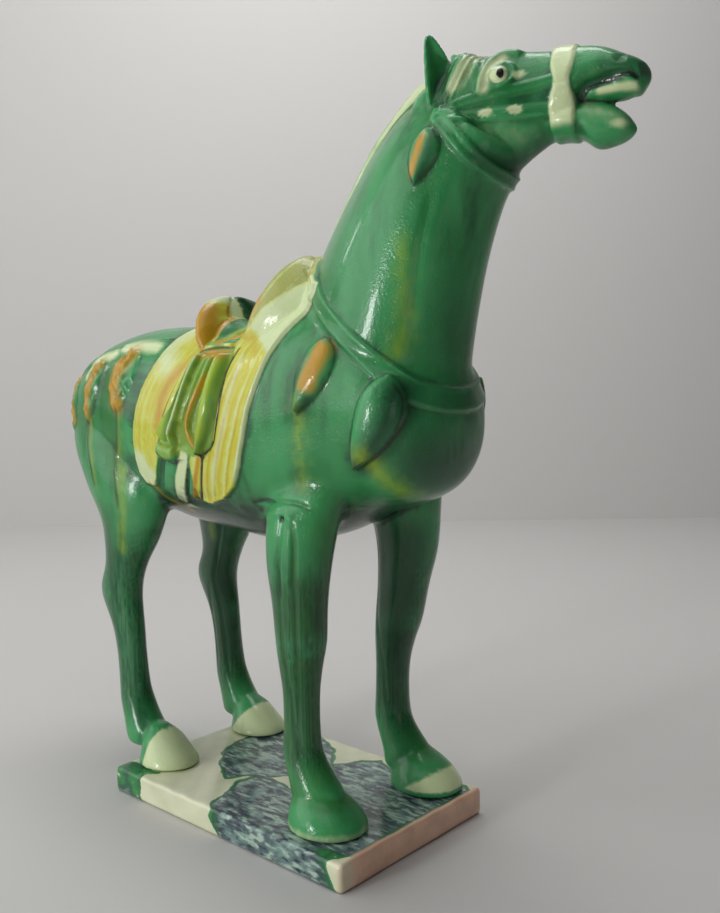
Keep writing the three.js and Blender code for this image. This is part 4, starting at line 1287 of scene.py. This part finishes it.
pool = np.where((x > half_size[0] - 1.5) & (z < 15.5), pool - 1.2 * over_side, pool)
pool = np.where(y > half_size[1] - 1.5, -20, pool)
pool = soft_edge(pool, 16)
thick_green = most(
    ease(x, 97.5, 99.5), patch(at[:, :2], (90, -59), 19, 8, 0.6), ease(-x, 66, 69) * (y < -50),
)
pool = np.where(pool > GREEN_RIM, GREEN_RIM + (pool - GREEN_RIM) * (1 - thick_green), pool)
paint(plinth, "pool", pool)
paint(plinth, "bare", ease(x, half_size[0] - 4.2, half_size[0] - 2.6) * (0.35 + 0.65 * ease(y, -60, -50)))
print("points under a pool:", int((pool > 0.5).sum()))

WHITE_SLIP = (0.78, 0.79, 0.56)
GREY_SLIP = (0.66, 0.69, 0.47)
DULL_SLIP = (0.61, 0.64, 0.43)
EDGE_GREEN = (0.015, 0.11, 0.05)
RIM_GREEN = (0.025, 0.24, 0.06)
SLATE_BLUE = (0.042, 0.070, 0.096)
SEA_GREEN = (0.21, 0.34, 0.30)
PALE_FLECK = (0.42, 0.56, 0.46)
INK_BLUE = (0.018, 0.028, 0.050)
PALE_CLAY = (0.86, 0.54, 0.38)
RED_CLAY = (0.72, 0.44, 0.30)


def slip():
    made = Finish("slip_and_pools", Roughness=0.32, Coat_Weight=0.3, Coat_Roughness=0.12)
    mixed, stepped = made.mixed, made.stepped
    clouds, mottle = made.noise(55), made.noise(75, detail=10)
    brush = made.noise(330, (0.35, 1, 1), 6)
    cloudy = stepped(clouds, 0.3, 0.75)
    depth = made.swayed(made.layer("pool"), clouds, 0.5, 0.35)
    bitten = made.swayed(depth, mottle, 0.40, 0.45)
    rim = made.added(depth, made.part_of(mottle, 0.25))
    flecks = made.over(
        SLATE_BLUE, (stepped(mottle, 0.36, 0.66), SEA_GREEN), (stepped(brush, 0.49, 0.64), PALE_FLECK),
        (stepped(brush, 0.46, 0.34), INK_BLUE),
    )
    clay = mixed(stepped(mottle, 0.35, 0.7), PALE_CLAY, RED_CLAY)
    colour = made.over(
        WHITE_SLIP, (cloudy, DULL_SLIP),
        (stepped(bitten, 0.48, 0.51), EDGE_GREEN), (stepped(rim, 0.66, 0.61), RIM_GREEN),
        (stepped(bitten, 0.50, 0.47), mixed(cloudy, WHITE_SLIP, GREY_SLIP)),
        (stepped(depth, 0.53, 0.64), flecks), (made.layer("bare"), clay),
    )
    return made.done(colour, made.noise(420), 0.25, 0.0003)


plinth.data.materials.clear()
plinth.data.materials.append(slip())

# %% [markdown]
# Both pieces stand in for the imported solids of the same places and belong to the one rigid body.

# %% Pieces and the frame
for piece, solid, finish in ((horse, "horse", "glaze"), (plinth, "plinth", "slip")):
    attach(piece, "root")
    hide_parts(solid)

# %% [markdown]
# The studio is a pale floor before a plain backdrop. A broad soft light stands at the camera's left, two
# small ones give the glints on the glaze, weak ones fill in from above and from the right, and one washes
# the backdrop. The camera's place and turn were worked out from how the four corners of the slab look.

# %% Floor, lights and camera
AZIMUTH, ELEVATION, ROLL = (math.radians(angle) for angle in (41.97, 4.17, -0.82))
CAMERA_PLACE = (436.6, -415.0, 268.0)
FOCAL, FRAME_HEIGHT, SENSOR = 950, 913, 36
# place, the point it faces, width and height, all in metres, and power in watts
LIGHTS = {
    "sky": ((-1.45, -1.75, 1.30), (0, 0, 0.25), (2.3, 2.3), 27),
    "window": ((-0.24, -1.60, 0.42), (0, 0, 0.25), (0.24, 0.24), 7.5),
    "rear_window": ((-1.30, -0.36, 0.95), (0, 0, 0.25), (0.12, 0.16), 0.6),
    "overhead": ((0.25, -0.60, 1.60), (0, 0, 0.2), (1.1, 1.1), 4),
    "fill": ((1.3, -0.6, 0.3), (0, 0, 0.1), (0.5, 0.5), 0.6),
    "wall_wash": ((-0.25, 0.25, 1.6), (-0.85, 0.95, 0.4), (0.8, 0.8), 12),
}
pale = Finish("pale_floor", Base_Color=(0.60, 0.59, 0.575), Roughness=0.7).material


def backdrop(name, place, turn):
    deselect_all()
    bpy.ops.mesh.primitive_plane_add(size=6, rotation=turn)
    sheet = bpy.context.object
    sheet.name, sheet.location = name, place
    sheet.data.materials.append(pale)
    return sheet


def set_up(name, data, place, right, up, back):
    """Puts a lamp or a camera in the scene. It looks the other way from back."""
    stand = bpy.data.objects.new(name, data)
    bpy.context.collection.objects.link(stand)
    turned = np.column_stack([right, up, back, place])
    stand.matrix_world = Matrix([*turned.tolist(), [0, 0, 0, 1]])
    return stand


floor = backdrop("floor", (0, 0, 0), (0, 0, 0))
wall = backdrop("wall", (-0.85, 0.95, 0), (math.radians(90), 0, AZIMUTH))
floor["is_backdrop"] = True
wall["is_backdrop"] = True
for name, (place, target, size, power) in LIGHTS.items():
    light = bpy.data.lights.new(name, "AREA")
    light.shape = "RECTANGLE"
    light.size, light.size_y = size
    light.energy = power
    back = unit(np.subtract(place, target))
    right = unit(np.cross(Z, back))
    set_up(name, light, place, right, np.cross(back, right), back)

world = bpy.data.worlds.new("studio")
world.use_nodes = True
air = world.node_tree.nodes["Background"].inputs
air["Color"].default_value = (0.75, 0.76, 0.78, 1)
air["Strength"].default_value = 0.07
bpy.context.scene.world = world

back = np.array([
    math.sin(AZIMUTH) * math.cos(ELEVATION), -math.cos(AZIMUTH) * math.cos(ELEVATION), math.sin(ELEVATION),
])
right = np.array([math.cos(AZIMUTH), math.sin(AZIMUTH), 0])
above = np.cross(back, right)
rolled_right = math.cos(ROLL) * right + math.sin(ROLL) * above
rolled_up = -math.sin(ROLL) * right + math.cos(ROLL) * above
lens = bpy.data.cameras.new("photo_camera")
lens.lens = FOCAL / FRAME_HEIGHT * SENSOR
camera = set_up("photo_camera", lens, np.array(CAMERA_PLACE) * MM, rolled_right, rolled_up, back)
bpy.context.scene.camera = camera
bpy.context.scene.view_settings.view_transform = "Standard"
print("lights:", len(LIGHTS), "lens, mm:", round(lens.lens, 1))

# %% [markdown]
# Last, the size of the dressed model is printed beside the imported box.

# %% Sizes and finish
boxes = {"cad": [list(corner) for corner in CAD_BOX], "visual": [list(corner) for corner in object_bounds()]}
print("sizes, mm:", {k: [[round(v / MM, 1) for v in c] for c in b] for k, b in boxes.items()})
